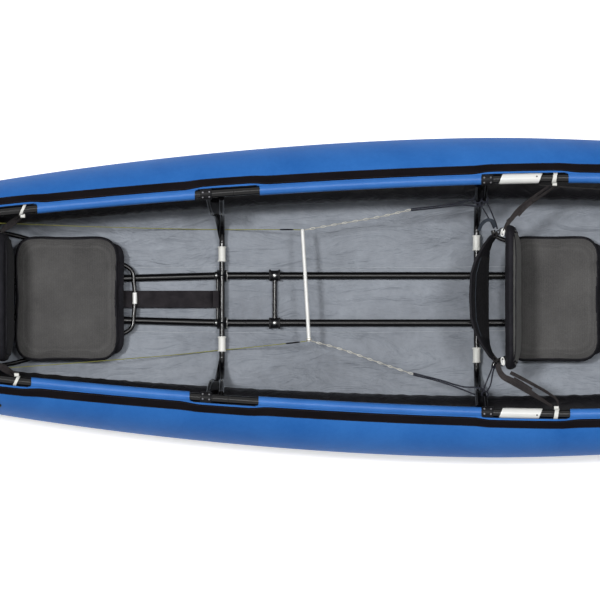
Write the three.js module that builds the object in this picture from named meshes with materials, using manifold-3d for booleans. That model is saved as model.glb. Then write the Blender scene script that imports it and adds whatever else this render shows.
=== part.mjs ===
// A two-seat folding kayak as an assembly of its separate pieces, in millimetres.
// +X points to the bow, +Y to port and +Z up. The origin is the middle of the keel strip's flat underside.
import * as THREE from 'three';
import { mergeVertices } from 'three/addons/utils/BufferGeometryUtils.js';
import Module from 'manifold-3d';

const wasm = await Module();
wasm.setup();

// Hull form
const hullHalfLength = 2450;
const hullHalfBeam = 430;
const stemHalfWidth = 6;
const skinWall = 2;
const seamGap = 0.5;
const keelStripWidth = 80;
const keelStripHalfLength = 1400;
const keelStripThickness = 3;
const fitGap = 0.3;
const stemRise = 230;
const capLength = 36;
const planPowerShare = 1.75;
const planRoundShare = 0.75;
const beamHeightShare = 0.53;
const flatKeelShare = 0.62;
const seamAngleShare = 0.69;
const lastStationShare = 0.985;
const tubeEndStationShare = 0.955;

// Gunwales, their fabric sleeves and the windows in the sleeves
const gunwaleHalfWidth = 316;
const gunwaleWidestX = 200;
const gunwalePowerShare = 1.6;
const gunwaleRoundShare = 0.65;
const gunwaleInsideShare = 0.8;
const gunwaleHeight = 300;
const sheerRise = 65;
const gunwaleRadius = 11.5;
const sleeveInnerRadius = 12;
const sleeveOuterRadius = 14;
const sleeveGripAngle = 40;
const windowClearance = 3.7;
const aftWindow = [-1495, -1242];
const ribAftWindow = [-808, -634];
const middleWindow = [-42, 192];
const ribForeWindow = [560, 735];
const hoopWindow = [1285, 1355];
const gunwaleJointX = 20;
const lockStartX = 5.5;
const lockLength = 116.5;
const lockRadius = 13.6;

// Keelsons and their crossbar
const keelsonRadius = 10;
const keelsonHalfSpacing = 64;
const keelsonEndHalfSpacing = 13.6;
const crossbarX = -595;
const crossbarRadius = 6;
const crossbarClampLength = 30;
const crossbarClampRadius = 14;

// Folding ribs
const ribAftX = -737;
const ribMidX = -50;
const ribForeX = 637;
const ribRadius = 7.5;
const ribAftSleeveStart = 101;
const ribMidSleeveStart = 131;
const ribSleeveLength = 41;
const ribSleeveInnerRadius = 8.4;
const ribSleeveRadius = 10.2;
const ribFlangeRadius = 11.6;
const ribFlangeLength = 3;
const braceRadius = 6;
const braceReach = 41;
const ribMidBraceReach = 25;
const braceStartY = 177;
const armFlatLength = 26;
const armStandOff = 2.5;
const armTopDistance = 17;
const armTopAngle = 35;
const braceEndAngle = 40;
const kneeInset = 26;
const kneeRise = 26;
const armLowHeight = 110;
const armHighHeight = 205;
const ribCollarLength = 31;
const ribCollarRadius = 16;
const keelClampLength = 26;
const keelClampWidth = 28;
const tieBarRadius = 4;
const tieBarOffset = 12.4;
const tieBarDrop = 11;

// Sponsons
const sponsonCentreShare = 0.814;
const sponsonInnerShare = 0.2046;
const sponsonGap = 1;
const sponsonHeightShare = 0.19;
const sponsonTipShare = 0.45;

// Decks and the hoops under their ends
const deckWall = 2.5;
const deckGap = 0.5;
const deckCamber = 70;
const aftDeckEdgeX = -1400;
const foreDeckEdgeX = 1300;
const aftHoopX = -1470;
const foreHoopX = 1320;
const hoopRadius = 8;
const hoopInset = 24;
const hoopDrop = 1.8;
const hoopCollarLength = 30;
const hoopCollarRadius = 14;

// Stems
const stemPlateThickness = 6;
const stemPlateInnerShare = 0.89;
const stemTopDrop = 18;
const yokeLength = 16;
const yokeHeight = 12;

// Rudder
const pintleRadius = 6;
const pintleOffset = 12;
const pintleBottom = 300;
const pintleTop = 368;
const headBottom = 312;
const headTop = 364;
const headRadius = 10;
const headBore = 6.6;
const steeringArm = 75;
const steeringArmThickness = 8;
const steeringArmBottom = 373.5;
const neckLength = 16;
const neckWidth = 16;
const bladePivotOffset = 50;
const bladeClearance = 7.4;
const cheekGap = 0.6;
const cheekThickness = 4;
const cheekRadius = 15;
const bladeThickness = 6;
const bladeLength = 450;
const bladeNeckHalfWidth = 11;
const bladeNeckLength = 44;
const bladeDrop = 60;
const bladeTipRadius = 30;

// Foot steering bar with its lines, chains and bungees
const footBarX = -511;
const footBarY = 34;
const footBarHeight = 120;
const footBarHalfLength = 153;
const footBarRadius = 5;
const footBarSlant = 3.4;
const lineRadius = 1;
const chainRadius = 2.5;
const bungeeRadius = 2;

// Seats
const rearSeatX = -1150;
const frontSeatX = 147;
const rearSeatLength = 290;
const frontSeatLength = 295;
const rearSeatWidth = 335;
const frontSeatWidth = 354;
const seatThickness = 38;
const seatCrown = 8;
const seatCornerRadius = 62;
const seatDrawIn = 7;
const seatOutlinePower = 5;
const seatRestShare = 0.36;
const seatFrameRadius = 6;
const seatFrameFrontHalfWidth = 81;
const seatFrameRearHalfWidth = 172;
const seatFrameLegHalfWidth = 186;
const seatFrameFrontReach = 33;
const rearSeatLegReach = 90;
const frontSeatLegReach = 33;
const strapWidth = 46;
const strapThickness = 2.5;

// Backrests
const rearBackX = -1318;
const frontBackX = 46;
const rearBackHalfWidth = 178;
const frontBackHalfWidth = 200;
const backThickness = 36;
const backHeight = 185;
const backBottom = 102;
const backSweep = 4;
const shellGap = 40;
const shellInset = 24;
const shellThickness = 12;
const shellBulge = 42;
const shellBottom = 125;
const shellTop = 262;
const tabWidth = 16;
const tabThickness = 4;
const backStrapWidth = 20;
const backStrapThickness = 2.5;
const clipLength = 12;
const clipRadius = 15.6;
const rearPortClipX = -1268;
const rearStarboardClipX = -1284;
const frontPortClipX = 155;
const frontStarboardClipX = 159;
const strapStartShare = 0.6;

// Colours and finishes of the pieces
const looks = {
  blueFabric: { color: 0x3f72b8, roughness: 0.75, metalness: 0 },
  grayFabric: { color: 0x7f858c, roughness: 0.8, metalness: 0 },
  blackFabric: { color: 0x232326, roughness: 0.85, metalness: 0 },
  blackTube: { color: 0x1c1c1f, roughness: 0.45, metalness: 0.6 },
  silver: { color: 0xc9ccd0, roughness: 0.3, metalness: 1 },
  white: { color: 0xe8e8e2, roughness: 0.5, metalness: 0 },
  rubber: { color: 0x1a1a1a, roughness: 0.9, metalness: 0 },
  blackPlastic: { color: 0x202124, roughness: 0.55, metalness: 0 },
  mesh: { color: 0x4a4a4c, roughness: 0.9, metalness: 0 },
  olive: { color: 0x8d8f4a, roughness: 0.8, metalness: 0 },
};

const kayak = new THREE.Group();
const ringSides = 8;
const flatShare = Math.cos(Math.PI / ringSides);
const radians = THREE.MathUtils.degToRad;

function addPart(name, geometry, look) {
  const material = new THREE.MeshStandardMaterial(looks[look]);
  const mesh = new THREE.Mesh(geometry, material);
  mesh.name = name;
  kayak.add(mesh);
  return mesh;
}

// Six times the signed volume of an indexed triangle mesh; it is negative when the faces point in
function signedVolume(geometry) {
  const position = geometry.getAttribute('position');
  const corner = [new THREE.Vector3(), new THREE.Vector3(), new THREE.Vector3()];
  let volume = 0;
  for (let i = 0; i < geometry.index.count; i += corner.length) {
    corner.forEach((point, k) => point.fromBufferAttribute(position, geometry.index.getX(i + k)));
    volume += corner[0].dot(corner[1].cross(corner[2]));
  }
  return volume;
}

function facingOut(geometry) {
  if (signedVolume(geometry) < 0) {
    geometry.index.array.reverse();
  }
  return geometry;
}

// A closed body through rings of equal point counts, capped by flat polygons in their own X plane
function loft(rings) {
  const count = rings[0].length;
  const index = [];
  for (let r = 0; r + 1 < rings.length; r += 1) {
    for (let i = 0; i < count; i += 1) {
      const next = (i + 1) % count;
      const near = r * count;
      const far = near + count;
      index.push(near + i, near + next, far + i);
      index.push(near + next, far + next, far + i);
    }
  }
  const cap = (ring, start, flip) => {
    const outline = ring.map((p) => new THREE.Vector2(p.y, p.z));
    for (const face of THREE.ShapeUtils.triangulateShape(outline, [])) {
      const [a, b, c] = face.map((i) => i + start);
      index.push(...(flip ? [a, c, b] : [a, b, c]));
    }
  };
  const first = THREE.ShapeUtils.isClockWise(rings[0].map((p) => new THREE.Vector2(p.y, p.z)));
  cap(rings[0], 0, !first);
  cap(rings.at(-1), (rings.length - 1) * count, first);
  const geometry = new THREE.BufferGeometry().setFromPoints(rings.flat());
  geometry.setIndex(index);
  return facingOut(geometry);
}

function toSolid(geometry) {
  const bare = geometry.clone();
  bare.deleteAttribute('normal');
  bare.deleteAttribute('uv');
  const merged = mergeVertices(bare);
  const vertProperties = new Float32Array(merged.getAttribute('position').array);
  const triVerts = new Uint32Array(merged.index.array);
  return new wasm.Manifold(new wasm.Mesh({ numProp: 3, vertProperties, triVerts }));
}

function toGeometry(solid) {
  const mesh = solid.getMesh();
  const geometry = new THREE.BufferGeometry();
  geometry.setAttribute('position', new THREE.BufferAttribute(mesh.vertProperties, mesh.numProp));
  geometry.setIndex(new THREE.BufferAttribute(mesh.triVerts, 1));
  return geometry;
}

function join(first, ...others) {
  return toGeometry(others.reduce((body, piece) => body.add(toSolid(piece)), toSolid(first)));
}

function cut(body, ...cutters) {
  return toGeometry(cutters.reduce((left, piece) => left.subtract(toSolid(piece)), toSolid(body)));
}

function block(lengthX, lengthY, lengthZ, x, y, z) {
  return new THREE.BoxGeometry(lengthX, lengthY, lengthZ).translate(x, y, z);
}

function circleShape(radius, sides) {
  const points = [];
  for (let i = 0; i < sides; i += 1) {
    const turn = (2 * Math.PI * (i + 1 / 2)) / sides;
    points.push(new THREE.Vector2(radius * Math.cos(turn), radius * Math.sin(turn)));
  }
  return new THREE.Shape(points);
}

// A round tube along a smooth curve through the points
function tube(points, radius, steps, sides = ringSides) {
  const curve = points.length > 2
    ? new THREE.CatmullRomCurve3(points, false, 'centripetal')
    : new THREE.LineCurve3(points[0], points[1]);
  const options = { steps, extrudePath: curve, bevelEnabled: false };
  return new THREE.ExtrudeGeometry(circleShape(radius, sides), options);
}

// A hollow ring about the Z axis, from z = 0 to its length, with a flange at each end if one is asked for
function ring(inner, outer, length, flange = 0, flangeLength = 0, sides = ringSides) {
  const profile = [new THREE.Vector2(inner, 0)];
  if (flange > 0) {
    profile.push(new THREE.Vector2(flange, 0), new THREE.Vector2(flange, flangeLength));
    profile.push(new THREE.Vector2(outer, flangeLength), new THREE.Vector2(outer, length - flangeLength));
    profile.push(new THREE.Vector2(flange, length - flangeLength), new THREE.Vector2(flange, length));
  } else {
    profile.push(new THREE.Vector2(outer, 0), new THREE.Vector2(outer, length));
  }
  profile.push(new THREE.Vector2(inner, length), new THREE.Vector2(inner, 0));
  const geometry = new THREE.LatheGeometry(profile, sides);
  return geometry.rotateX(Math.PI / 2);
}

function mirrored(points) {
  return points.map((p) => new THREE.Vector3(p.x, -p.y, p.z));
}

function sideOf(points, side) {
  return side === 'port' ? points : mirrored(points);
}

// Shares of the half length at which the hull's sections stand; everything that nests in it follows them
const stationShares = [
  -0.985, -0.955, -0.91, -0.85, -0.77, -0.68, -0.57, -0.45, -0.3, -0.15, 0,
  0.15, 0.3, 0.45, 0.57, 0.68, 0.77, 0.85, 0.91, 0.955, 0.985,
];
const stations = stationShares.map((share) => share * hullHalfLength);
const tubeEndX = tubeEndStationShare * hullHalfLength;
const skinEndX = lastStationShare * hullHalfLength;

// The value of a shape function on the straight line between the two stations beside x
function onStations(shapeAt, x) {
  const after = Math.max(1, stations.findIndex((station) => station >= x));
  const low = stations[after - 1];
  const high = stations[after];
  return THREE.MathUtils.lerp(shapeAt(low), shapeAt(high), (x - low) / (high - low));
}

function stationsBetween(start, end) {
  return [start, ...stations.filter((x) => x > start + seamGap && x < end - seamGap), end];
}

function planShare(reach, power, round) {
  return Math.pow(1 - Math.pow(Math.min(Math.abs(reach), 1), power), round);
}

function reachAt(x) {
  return Math.abs(x) / hullHalfLength;
}

function halfBeamAt(x) {
  const share = planShare(reachAt(x), planPowerShare, planRoundShare);
  return stemHalfWidth + (hullHalfBeam - stemHalfWidth) * share;
}

// The gunwale keeps inside the skin's side near the ends
function gunwaleHalfAt(x) {
  const end = x < gunwaleWidestX ? hullHalfLength + gunwaleWidestX : hullHalfLength - gunwaleWidestX;
  const share = planShare((x - gunwaleWidestX) / end, gunwalePowerShare, gunwaleRoundShare);
  return Math.min(gunwaleHalfWidth * share, gunwaleInsideShare * halfBeamAt(x));
}

function gunwaleHeightAt(x) {
  return gunwaleHeight + sheerRise * reachAt(x) ** 2;
}

function keelHeightAt(x) {
  const past = Math.max(0, (reachAt(x) - flatKeelShare) / (1 - flatKeelShare));
  return keelStripThickness + fitGap + stemRise * past ** 3;
}

function beamHeightAt(x) {
  return THREE.MathUtils.lerp(keelHeightAt(x), gunwaleHeightAt(x), beamHeightShare);
}

// The bottom is nearly flat amidships and turns into a V towards the ends
const flatPowerShares = [2.5, 2];
const veePowerShares = [1.5, 1.4];
const veeGrowthShare = 1.3;

function sectionPowers(x) {
  const vee = Math.min(1, veeGrowthShare * reachAt(x) ** 3);
  return flatPowerShares.map((share, i) => THREE.MathUtils.lerp(share, veePowerShares[i], vee));
}

// A point of the section below the widest level, at a turn from the keel (0) to the side (a quarter turn)
function lowerPoint(x, turn, inset) {
  const [yPower, zPower] = sectionPowers(x);
  const half = halfBeamAt(x) - inset;
  const top = beamHeightAt(x);
  const depth = top - keelHeightAt(x) - inset;
  const y = half * Math.pow(Math.abs(Math.sin(turn)), 2 / yPower) * Math.sign(turn);
  return new THREE.Vector3(x, y, top - depth * Math.pow(Math.cos(turn), 2 / zPower));
}

const gripRadius = (sleeveInnerRadius + sleeveOuterRadius) / 2;
const gripY = gripRadius * Math.cos(radians(sleeveGripAngle));
const gripZ = gripRadius * Math.sin(radians(sleeveGripAngle));
const topEdgeShare = 0.9;

// A point of the section above the widest level, from the side (0) to the gunwale sleeve (a quarter turn)
function upperPoint(x, turn, inset) {
  const edge = Math.min(gunwaleHalfAt(x) + gripY, topEdgeShare * halfBeamAt(x));
  const half = halfBeamAt(x) - inset;
  const base = beamHeightAt(x);
  const rise = gunwaleHeightAt(x) + gripZ - base - inset;
  return new THREE.Vector3(x, edge + (half - edge) * Math.cos(turn), base + rise * Math.sin(turn));
}

// Height of the skin's inner face at a distance from the centre line, below the widest level
function floorHeightAt(x, y) {
  const [yPower, zPower] = sectionPowers(x);
  const half = halfBeamAt(x) - skinWall;
  const top = beamHeightAt(x);
  const depth = top - keelHeightAt(x) - skinWall;
  return top - depth * Math.pow(1 - Math.pow(Math.min(1, y / half), yPower), 1 / zPower);
}

function spread(count, from, to) {
  return Array.from({ length: count + 1 }, (_, i) => THREE.MathUtils.lerp(from, to, i / count));
}

const quarter = Math.PI / 2;
const seamTurn = quarter * seamAngleShare;

function seamShift(x) {
  return seamGap / (beamHeightAt(x) - keelHeightAt(x)) / 2;
}

function bottomRing(x) {
  const turns = spread(12, -seamTurn + seamShift(x), seamTurn - seamShift(x));
  const outer = turns.map((turn) => lowerPoint(x, turn, 0));
  const inner = turns.map((turn) => lowerPoint(x, turn, skinWall));
  return [...outer, ...inner.reverse()];
}

function topsideRing(x) {
  const lower = spread(3, seamTurn + seamShift(x), quarter);
  const upper = spread(4, 0, quarter).slice(1);
  const wall = (inset) => [
    ...lower.map((turn) => lowerPoint(x, turn, inset)),
    ...upper.map((turn) => upperPoint(x, turn, inset)),
  ];
  return [...wall(0), ...wall(skinWall).reverse()];
}

// Circles round the gunwale's centre line, standing on the hull's stations
function gunwaleRings(start, end, radius) {
  return stationsBetween(start, end).map((x) => {
    const y = onStations(gunwaleHalfAt, x);
    const z = onStations(gunwaleHeightAt, x);
    return circleShape(radius, ringSides).getPoints().slice(0, ringSides)
      .map((p) => new THREE.Vector3(x, y + p.x, z + p.y));
  });
}

function gunwaleTube(start, end, radius, side) {
  return loft(gunwaleRings(start, end, radius).map((points) => sideOf(points, side)));
}

function gunwaleRing(start, end, inner, outer, side) {
  const bore = gunwaleTube(start - fitGap, end + fitGap, inner, side);
  return cut(gunwaleTube(start, end, outer, side), bore);
}

const windows = [aftWindow, ribAftWindow, middleWindow, ribForeWindow, hoopWindow];

// One blue side of the skin with the sewn sleeve round the gunwale; the windows are cut out of it
function topside(side) {
  const wall = loft(stations.map((x) => sideOf(topsideRing(x), side)));
  const edges = [-tubeEndX, ...windows.flat(), tubeEndX];
  let body = toSolid(wall);
  for (const [start, end] of windows) {
    body = body.subtract(toSolid(gunwaleTube(start, end, sleeveOuterRadius + windowClearance, side)));
  }
  for (let i = 0; i < edges.length; i += 2) {
    const sleeve = gunwaleRing(edges[i], edges[i + 1], sleeveInnerRadius, sleeveOuterRadius, side);
    body = body.add(toSolid(sleeve));
  }
  const bore = gunwaleTube(-tubeEndX - fitGap, tubeEndX + fitGap, sleeveInnerRadius, side);
  return toGeometry(body.subtract(toSolid(bore)));
}

function addSkin() {
  addPart('hull_bottom', loft(stations.map(bottomRing)), 'grayFabric');
  addPart('port_topside', topside('port'), 'blueFabric');
  addPart('starboard_topside', topside('starboard'), 'blueFabric');
  const strip = block(
    2 * keelStripHalfLength, keelStripWidth, keelStripThickness, 0, 0, keelStripThickness / 2,
  );
  addPart('keel_strip', strip, 'rubber');
}

// The deck lies on both gunwale sleeves and arches between them
function deckHeightAt(x, y) {
  const half = gunwaleHalfAt(x);
  const camber = (deckCamber * half) / gunwaleHalfAt(aftHoopX);
  return gunwaleHeightAt(x) + sleeveOuterRadius * flatShare + deckGap + camber * (1 - (y / half) ** 2);
}

function deckRing(x) {
  const across = spread(8, -gunwaleHalfAt(x), gunwaleHalfAt(x));
  const under = across.map((y) => new THREE.Vector3(x, y, deckHeightAt(x, y)));
  const over = under.map((p) => new THREE.Vector3(x, p.y, p.z + deckWall));
  return [...under, ...over.reverse()];
}

function addDecks() {
  const aft = stationsBetween(-skinEndX, aftDeckEdgeX);
  const fore = stationsBetween(foreDeckEdgeX, skinEndX);
  addPart('aft_deck', loft(aft.map(deckRing)), 'blueFabric');
  addPart('fore_deck', loft(fore.map(deckRing)), 'blueFabric');
}

// The sponson fills the skin's side: its outer face follows the skin and its inner face is a half ellipse
function sponsonRing(x, size, side) {
  const inset = skinWall + sponsonGap;
  const half = onStations(halfBeamAt, x);
  const centre = new THREE.Vector3(x, sponsonCentreShare * half, onStations(beamHeightAt, x));
  const across = sponsonInnerShare * half;
  const rise = sponsonHeightShare * half;
  const outer = [
    ...spread(3, seamTurn + seamShift(x), quarter).slice(1).map((turn) => lowerPoint(x, turn, inset)),
    upperPoint(x, quarter / 4, inset),
  ];
  const inner = spread(6, quarter, 3 * quarter).map((turn) => (
    new THREE.Vector3(x, centre.y + across * Math.cos(turn), centre.z + rise * Math.sin(turn))
  ));
  const points = [...outer, ...inner].map((p) => p.sub(centre).multiplyScalar(size).add(centre));
  return sideOf(points, side);
}

const sponsonStationShares = [-0.8, -0.77, -0.68, -0.57, -0.45, -0.3, -0.15, 0,
  0.15, 0.3, 0.45, 0.57, 0.68, 0.77, 0.8];

function addSponsons() {
  for (const side of ['port', 'starboard']) {
    const last = sponsonStationShares.length - 1;
    const rings = sponsonStationShares.map((share, i) => {
      const size = i === 0 || i === last ? sponsonTipShare : 1;
      return sponsonRing(share * hullHalfLength, size, side);
    });
    addPart(`${side}_sponson`, loft(rings), 'blackFabric');
  }
}

function addGunwales() {
  for (const side of ['port', 'starboard']) {
    const aft = gunwaleTube(-tubeEndX, gunwaleJointX - fitGap / 2, gunwaleRadius, side);
    const fore = gunwaleTube(gunwaleJointX + fitGap / 2, tubeEndX, gunwaleRadius, side);
    const lock = gunwaleRing(lockStartX, lockStartX + lockLength, sleeveInnerRadius, lockRadius, side);
    addPart(`${side}_gunwale_aft`, aft, 'blackTube');
    addPart(`${side}_gunwale_fore`, fore, 'blackTube');
    addPart(`${side}_gunwale_lock`, lock, 'silver');
  }
}

// Keelsons run side by side amidships and close in on the stem plates at both ends
const keelsonShares = [
  [0, 1], [0.3, 1], [0.45, 0.8], [0.57, 0.62], [0.68, 0.46], [0.77, 0.32], [0.85, 0.16], [0.91, 0],
];

function keelsonHalfAt(x) {
  const reach = reachAt(x);
  const after = Math.max(1, keelsonShares.findIndex(([share]) => share >= reach));
  const [lowReach, low] = keelsonShares[after - 1];
  const [highReach, high] = keelsonShares[after];
  const share = THREE.MathUtils.lerp(low, high, (reach - lowReach) / (highReach - lowReach));
  return THREE.MathUtils.lerp(keelsonEndHalfSpacing, keelsonHalfSpacing, share);
}

function keelsonHeightAt(x) {
  return floorHeightAt(x, keelsonHalfAt(x) + keelsonRadius + skinWall) + keelsonRadius + fitGap;
}

function keelsonTube(start, end, radius, side) {
  const rings = stationsBetween(start, end).map((x) => {
    const centre = new THREE.Vector3(x, onStations(keelsonHalfAt, x), onStations(keelsonHeightAt, x));
    const points = circleShape(radius, ringSides).getPoints().slice(0, ringSides)
      .map((p) => new THREE.Vector3(0, p.x, p.y).add(centre));
    return sideOf(points, side);
  });
  return loft(rings);
}

function addKeelsons() {
  const reach = keelsonShares.at(-1)[0] * hullHalfLength;
  for (const side of ['port', 'starboard']) {
    addPart(`${side}_keelson`, keelsonTube(-reach, reach, keelsonRadius, side), 'blackTube');
  }
}

// A tube on a keelson's line, a clearance wider than it, that bores the clamps which hold it
function keelsonBore(x, length, side) {
  return keelsonTube(x - length / 2, x + length / 2, keelsonRadius + 2 * fitGap, side);
}

function addCrossbar() {
  const y = onStations(keelsonHalfAt, crossbarX);
  const z = onStations(keelsonHeightAt, crossbarX);
  const reach = y - keelsonRadius - fitGap * 2;
  const ends = [-reach, reach].map((end) => new THREE.Vector3(crossbarX, end, z));
  const clamps = [y, -y].map((centre) => {
    const start = crossbarX - crossbarClampLength / 2;
    return ring(keelsonRadius + fitGap, crossbarClampRadius, crossbarClampLength)
      .rotateY(quarter).translate(start, centre, z);
  });
  const bores = ['port', 'starboard'].map((side) => keelsonBore(crossbarX, 2 * crossbarClampLength, side));
  const below = block(2 * crossbarClampLength, 2 * (y + crossbarClampLength), keelsonRadius,
    crossbarX, 0, z - keelsonRadius);
  addPart('keel_crossbar', cut(join(tube(ends, crossbarRadius, 1), ...clamps), ...bores, below), 'blackTube');
}

function sponsonInnerAt(x) {
  return (sponsonCentreShare - sponsonInnerShare) * onStations(halfBeamAt, x);
}

function ribHeightAt(x) {
  return onStations(keelsonHeightAt, x) + keelsonRadius + ribRadius + fitGap;
}

function ribFloor(x, hinge, withTieBar) {
  const z = ribHeightAt(x);
  const bar = tube([-hinge, hinge].map((y) => new THREE.Vector3(x, y, z)), ribRadius, 1);
  const keelsonY = onStations(keelsonHalfAt, x);
  const keelsonZ = onStations(keelsonHeightAt, x);
  const height = z - keelsonZ + ribRadius / 2;
  const clamps = [keelsonY, -keelsonY].map((y) => (
    block(keelClampLength, keelClampWidth, height, x, y, keelsonZ + height / 2)
  ));
  const bores = ['port', 'starboard'].map((side) => keelsonBore(x, 2 * keelClampLength, side));
  const pieces = [bar, ...clamps];
  if (withTieBar) {
    const reach = keelsonY - keelClampWidth / 4;
    const tieX = x - tieBarOffset;
    const tieZ = z - tieBarDrop;
    pieces.push(tube([-reach, reach].map((y) => new THREE.Vector3(tieX, y, tieZ)), tieBarRadius, 1));
  }
  return cut(join(...pieces), ...bores);
}

function towardGunwale(x, distance, angle) {
  const y = onStations(gunwaleHalfAt, x) - distance * Math.cos(radians(angle));
  const z = onStations(gunwaleHeightAt, x) - distance * Math.sin(radians(angle));
  return new THREE.Vector3(x, y, z);
}

// One folding arm: the tube that rises inside the sponson, its fork brace and the clamp round the gunwale
function ribArm(x, hinge, reachX, side) {
  const z = ribHeightAt(x);
  const armY = sponsonInnerAt(x) - ribRadius - armStandOff;
  const arm = [
    new THREE.Vector3(x, hinge + fitGap, z),
    new THREE.Vector3(x, hinge + armFlatLength, z),
    new THREE.Vector3(x, hinge + armFlatLength + ribRadius * 2, z),
    new THREE.Vector3(x, armY - kneeInset, z + kneeRise),
    new THREE.Vector3(x, armY, armLowHeight),
    new THREE.Vector3(x, armY, armHighHeight),
    towardGunwale(x, armTopDistance, armTopAngle),
  ];
  const clampX = x + reachX;
  const braceY = sponsonInnerAt(clampX) - braceRadius - armStandOff;
  const brace = [
    new THREE.Vector3(x, Math.max(braceStartY - kneeInset, hinge + armFlatLength + ribRadius), z),
    new THREE.Vector3(x + reachX / 2, braceY - kneeInset, z + kneeRise),
    new THREE.Vector3(clampX, braceY, armLowHeight),
    new THREE.Vector3(clampX, braceY, armHighHeight),
    towardGunwale(clampX, (sleeveInnerRadius + ribCollarRadius) / 2, braceEndAngle),
  ];
  const start = clampX - ribCollarLength / 2;
  const collar = gunwaleRing(start, start + ribCollarLength, sleeveInnerRadius, ribCollarRadius, side);
  return join(tube(sideOf(arm, side), ribRadius, 12), tube(sideOf(brace, side), braceRadius, 8), collar);
}

function ribSleeve(x, start, side) {
  const sleeve = ring(
    ribSleeveInnerRadius, ribSleeveRadius, ribSleeveLength, ribFlangeRadius, ribFlangeLength,
  );
  sleeve.rotateX(-quarter).translate(x, start, ribHeightAt(x));
  return side === 'port' ? sleeve : sleeve.translate(0, -2 * start - ribSleeveLength, 0);
}

const ribs = [
  { name: 'rib_aft', x: ribAftX, start: ribAftSleeveStart, reachX: -braceReach, tie: true },
  { name: 'rib_mid', x: ribMidX, start: ribMidSleeveStart, reachX: ribMidBraceReach, tie: false },
  { name: 'rib_fore', x: ribForeX, start: ribAftSleeveStart, reachX: braceReach, tie: true },
];

function addRibs() {
  for (const { name, x, start, reachX, tie } of ribs) {
    const hinge = start + ribSleeveLength / 2;
    addPart(`${name}_floor`, ribFloor(x, hinge, tie), 'blackTube');
    for (const side of ['port', 'starboard']) {
      addPart(`${name}_${side}_arm`, ribArm(x, hinge, reachX, side), 'blackTube');
      addPart(`${name}_${side}_sleeve`, ribSleeve(x, start, side), 'white');
    }
  }
}

// The arch that carries a deck's end, clamped round both gunwales
function hoop(x) {
  const half = onStations(gunwaleHalfAt, x);
  const reach = half - hoopInset;
  const arch = spread(8, -reach, reach).map((y) => {
    const z = onStations((s) => deckHeightAt(s, y), x) - hoopRadius - hoopDrop;
    return new THREE.Vector3(x, y, z);
  });
  const start = x - hoopCollarLength / 2;
  const sides = ['port', 'starboard'].map((side) => {
    const collar = gunwaleRing(start, start + hoopCollarLength, sleeveInnerRadius, hoopCollarRadius, side);
    const foot = [arch.at(-1), towardGunwale(x, (sleeveInnerRadius + hoopCollarRadius) / 2, 0)];
    return join(collar, tube(side === 'port' ? foot : mirrored(foot), hoopRadius / 2, 1));
  });
  const bores = ['port', 'starboard'].map((side) => (
    gunwaleTube(start - hoopCollarLength, start + 2 * hoopCollarLength, sleeveInnerRadius, side)
  ));
  return cut(join(tube(arch, hoopRadius, 10), ...sides), ...bores);
}

function addHoops() {
  addPart('aft_hoop', hoop(aftHoopX), 'blackTube');
  addPart('fore_hoop', hoop(foreHoopX), 'blackTube');
}

// A tapered end cap on the skin, with a plate inside that reaches the keelsons and a yoke across the gunwales
function stem(end) {
  const skinEnd = end * (skinEndX + fitGap);
  const tip = end * (skinEndX + capLength);
  const section = [...spread(6, -quarter, quarter).map((turn) => lowerPoint(skinEnd, turn, 0)),
    ...spread(3, 0, quarter).slice(1).map((turn) => upperPoint(skinEnd, turn, 0)),
    ...mirrored(spread(3, 0, quarter).slice(1).map((turn) => upperPoint(skinEnd, turn, 0))).reverse()];
  const narrow = stemHalfWidth / halfBeamAt(skinEnd);
  const tipSection = section.map((p) => new THREE.Vector3(tip, p.y * narrow, p.z));
  const cap = loft([section, tipSection]);
  const inner = end * stemPlateInnerShare * hullHalfLength;
  const plateHalf = stemPlateThickness / 2;
  const run = [...stationsBetween(Math.abs(inner), skinEndX), skinEndX + capLength / 2].map((x) => x * end);
  const lowEdge = run.map((x) => {
    const inside = Math.min(Math.abs(x), skinEndX) * end;
    const floor = onStations((s) => floorHeightAt(s, plateHalf + skinWall), inside);
    return new THREE.Vector2(x, floor + plateHalf);
  });
  const topEdge = run.map((x) => new THREE.Vector2(x, gunwaleHeightAt(x) - stemTopDrop));
  const outline = new THREE.Shape([...lowEdge, ...topEdge.reverse()]);
  const plate = new THREE.ExtrudeGeometry(outline, { depth: stemPlateThickness, bevelEnabled: false });
  plate.rotateX(quarter).translate(0, plateHalf, 0);
  const yokeX = end * (tubeEndX + fitGap + yokeLength / 2);
  const reach = gunwaleHalfAt(end * tubeEndX) - gripY / 2;
  const yokeTop = gunwaleHeightAt(yokeX);
  const yoke = block(yokeLength, 2 * reach, yokeHeight, yokeX, 0, yokeTop - yokeHeight / 2);
  const post = block(yokeLength, stemPlateThickness, stemTopDrop * 2, yokeX, 0, yokeTop - stemTopDrop);
  return join(cap, plate, post, yoke);
}

const pintleX = -(skinEndX + capLength + pintleOffset);

function addStems() {
  addPart('bow_stem', stem(1), 'blackPlastic');
  const height = pintleTop - pintleBottom;
  const pintle = new THREE.CylinderGeometry(pintleRadius, pintleRadius, height, ringSides)
    .rotateX(quarter).translate(pintleX, 0, pintleBottom + height / 2);
  const lugLength = pintleOffset + capLength / 2;
  const lugHeight = headBottom - pintleBottom - fitGap;
  const lug = block(
    lugLength, pintleRadius * 2, lugHeight, pintleX + lugLength / 2, 0, pintleBottom + lugHeight / 2,
  );
  addPart('stern_post', join(stem(-1), pintle, lug), 'blackPlastic');
}

const bladePivotX = -(skinEndX + capLength + bladePivotOffset);
// The pivot stands so high that the parked blade clears the deck, which is highest under the blade's tip
const deckTop = deckHeightAt(bladePivotX + bladeLength, 0) + deckWall;
const bladePivotHeight = Math.round(deckTop + bladeClearance + bladeDrop);

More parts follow.
